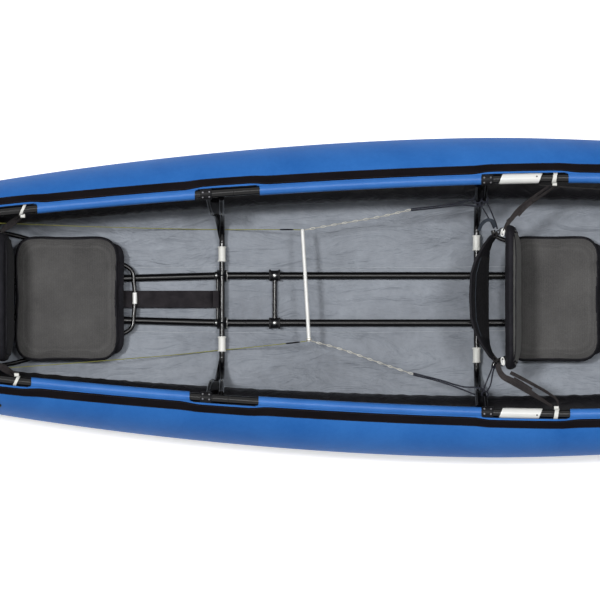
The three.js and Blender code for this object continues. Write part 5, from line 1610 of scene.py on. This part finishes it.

# %% [markdown]
# Two strands of webbing leave each end of a pad flat, twist on the way, and end on either side of a white clip
# on the gunwale. The twist is a side vector that turns from level to upright along the strap. A loose tail
# hangs beside it.

# %% Back straps and their clips
def twisted(path, width, level, upright, finish=0, thick=0.0021):
    """Webbing whose side turns from the angle level to the angle upright, both from the horizontal."""
    turn = np.linspace(radians(level), radians(upright), len(path))[:, None]
    along = np.gradient(path, axis=0)
    flat = np.cross((0, 0, 1), along)
    flat /= np.linalg.norm(flat, axis=1, keepdims=True)
    side = flat * np.cos(turn) + np.array((0, 0, 1)) * np.sin(turn)
    return strap(path, width, thick, side=side, finish=finish)


strands = {
    ("front", "port"): [
        [(22, 176, 226), (31, 197, 226), (42, 211, 226), (68, 241, 243), (139, 294.5, 292)],
        [(30, 202, 212), (46, 215, 219), (82, 243, 245), (158, 294.5, 291)]],
    ("front", "starboard"): [
        [(4, 180, 222), (8, 198, 216), (18, 213, 216), (45, 228, 228), (90, 257, 259), (148, 295.5, 292)],
        [(38, 203, 212), (70, 220, 228), (136, 258, 262), (160, 277, 280), (164, 294.5, 292)]],
    ("rear", "port"): [
        [(-1326, 177, 212), (-1305, 196, 240), (-1277, 216.5, 302)],
        [(-1330, 177, 207), (-1300, 190, 240), (-1262, 217.5, 301)]],
}
strands["rear", "starboard"] = [np.array(points) - (16, 1, 0) for points in strands["rear", "port"]]
clips = {"rear": {"half": 0.0042, "radius": 0.0138, "slant": 0.42},
         "front": {"half": 0.0056, "radius": 0.0148, "slant": 0.16}}
strap_widths = {("front", "starboard"): (0.013, 0.021, 0.019, 0.01)}
fixed_share = 0.85
for (name, side), pair in strands.items():
    first, second = (smooth_path(np.array(points) / 1000, 40) for points in pair)
    widths = strap_widths.get((name, side), (0.011, 0.0145, 0.012, 0.008))
    width = np.interp(np.linspace(0, 1, 40), (0, 0.35, 0.6, 1), widths)
    beside = first[12:25] + (0.006, -0.005, 0.004)
    bands = [twisted(to_side(line, side), *look) for line, look in (
        (first, (width, 8, 60)), (second, (0.0105, 15, 70)), (beside, (0.011, 6, 18)))]
    clip_x, clip = backs[name]["clips"][side], clips[name]
    ring = slanted_sleeve(side, clip_x - clip["half"], clip_x + clip["half"], clip["radius"], 0.0121,
                          clip["slant"])
    ring["finish"] = 1
    eye = to_side(toward_gunwale(clip_x, 0.0165, 12), side)
    eye_path = eye + np.linspace(-0.006, 0.006, 5)[:, None] * np.array((1, 0, 0))
    hook = hollow(eye_path, 0.0052, 0.0026, 20, finish=1)
    root, tip = to_side(first[0], side), to_side(first[-1], side)
    bends = (f"{name}_backrest", "hull", tuple(root), tuple(root + fixed_share * (tip - root)))
    make_piece(f"{name}_{side}_back_webbing", [*bands, ring, hook], [strap_webbing, white_plastic], bends,
               f"{name}_{side}_back_strap")
print("back straps", 4)

# %% [markdown]
# Small things finish the backrests: two bungees that pull each end of the front one towards the rib, a pull
# tab of slate webbing, a bright buckle, and black lacing where the panel and the pad meet. A bungee runs
# between the backrest and its tie, a ring round the rib's arm that rides on the hull.

# %% Backrest bungees, tabs and buckles
def ring_of(centre, long, short, radius, way, flat, count=40, finish=0):
    """A closed wire: centre + long cos t way + short sin t flat."""
    turn = (np.arange(count) * 2 * pi / count)[:, None]
    way, flat = long * np.cos(turn) * np.asarray(way), short * np.sin(turn) * np.asarray(flat)
    return closed_tube(np.asarray(centre, float) + way + flat, radius, 10, finish)


stays = {
    "port": [[(-46, 252, 232), (-33, 232, 229), (-14, 200, 214), (-6, 184, 203)],
             [(-26, 256, 232), (-17, 236, 228), (-1, 198, 209), (3, 184, 199)]],
    "starboard": [[(-36.5, 255.5, 232), (-28, 232, 229), (-14, 198, 213), (-8, 184, 203)],
                  [(-25.5, 255.5, 234), (-16, 236, 230), (-8, 198, 209), (-3, 184, 199)]],
}
ties = {"port": [((-0.05, 0.262, 0.232), 0.0105), ((-0.031, 0.262, 0.232), 0.0085)],
        "starboard": [((-0.031, 0.262, 0.230), 0.0085), ((-0.031, 0.262, 0.235), 0.0085)]}
for side, pair in stays.items():
    for number, points in enumerate(pair, 1):
        path = smooth_path(to_side(np.array(points) / 1000, side), 40)
        middle, radius = ties[side][number - 1]
        tie = ring_of(to_side(middle, side), radius, radius, 0.0019, (1, 0, 0), (0, 1, 0))
        make_piece(f"front_{side}_bungee_tie_{number}", [tie], [bungee_sheath], "hull")
        stay = make_piece(f"front_{side}_back_bungee_{number}", [tube(path, 0.0019, 10)], [bungee_sheath],
                          ("front_backrest", "hull", tuple(path[-1]), tuple(path[0])))
        lay_cord(stay, path)

for name, back in backs.items():
    x, half = back["x"], back["half"]
    for side in sides:
        parts = []
        if name == "front" and side == "port":
            pull = [(x - 0.093, half - 0.022, 0.213), (x - 0.084, half - 0.004, 0.221),
                    (x - 0.070, half + 0.006, 0.226), (x - 0.056, half + 0.003, 0.224),
                    (x - 0.049, half - 0.013, 0.216)]
            parts.append(twisted(smooth_path(pull, 40), 0.0095, 12, 12))
        at = to_side((x - 0.0285, half - 0.027, 0.226), side)
        buckle_way = to_side((0.15, 0.97, -0.15), side)
        parts.append(ring_of(at, 0.0105, 0.0046, 0.0017, buckle_way, (0.95, 0, 0.3), finish=1))
        parts.append(block(at + to_side((0.001, 0.002, 0), side), (0.005, 0.012, 0.0022), finish=1))
        for step in range(3):
            laced = (x - 0.049 + 0.0085 * step, half - 0.033 + 0.006 * step, 0.2145 - 0.002 * step)
            parts.append(ring_of(to_side(laced, side), 0.0075, 0.0052, 0.0013, to_side((0.7, 0.7, 0.1), side),
                                 to_side((-0.66, 0.66, 0.35), side), 24, 2))
        make_piece(f"{name}_{side}_back_trim", parts, [slate_tape, silver_tube, black_line],
                   f"{name}_backrest")
print("backrest trim", 4)

# %% [markdown]
# The last small parts are a round valve on the starboard skin, where the sponson is blown up, and a
# thin line that runs forward along the port gunwale.

# %% Valve and gunwale line
valve_x, valve_turn = -1.335, radians(44)
near = mirror_y(upper_skin(valve_x + np.array([0, 0.01]), valve_turn + np.array([0, 0.05])))
spot = near[0, 0]
out = np.cross(near[1, 0] - spot, near[0, 1] - spot)
out *= np.sign(out[2]) / np.linalg.norm(out)
rise = np.array([-0.002, 0.0002, 0.0018, 0.0026, 0.0027, 0.0048, 0.0056, 0.0057])
rings = np.array([0.0098, 0.0098, 0.0094, 0.0082, 0.0066, 0.0064, 0.0054, 0.002])
make_piece("starboard_valve", [tube(spot + rise[:, None] * out, rings, 32, up=(1, 0, 0))], [black_plastic],
           "hull")
path = smooth_path([(0.114, 0.2975, 0.286), (0.2, 0.291, 0.281), (0.283, 0.286, 0.279), (0.45, 0.276, 0.281),
                    (0.615, 0.2655, 0.2895)], 60)
line = make_piece("port_gunwale_line", [tube(path, 0.0013, 8)], [black_line], "hull")
lay_cord(line, path)

# %% [markdown]
# The moulded stems, the hoops and the rudder keep their measured shapes, with a finish of their own.

# %% Finishes of the measured pieces that stay
kept = {"bow_stem": black_plastic, "stern_post": black_plastic, "rudder_head": black_plastic,
        "rudder_blade": blade_metal, "aft_hoop": black_tube, "fore_hoop": black_tube}
for node, finish in kept.items():
    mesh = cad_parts[node].data
    mesh.materials.clear()
    mesh.materials.append(finish)
print("kept", len(kept), "made", len(pieces_made), "pieces,", sum(count for _, count in pieces_made), "faces")

# %% [markdown]
# Last, the finished boat's box is shown beside the measured one.

# %% The measured and the finished box
[[list(corner) for corner in box] for box in (cad_box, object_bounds())]
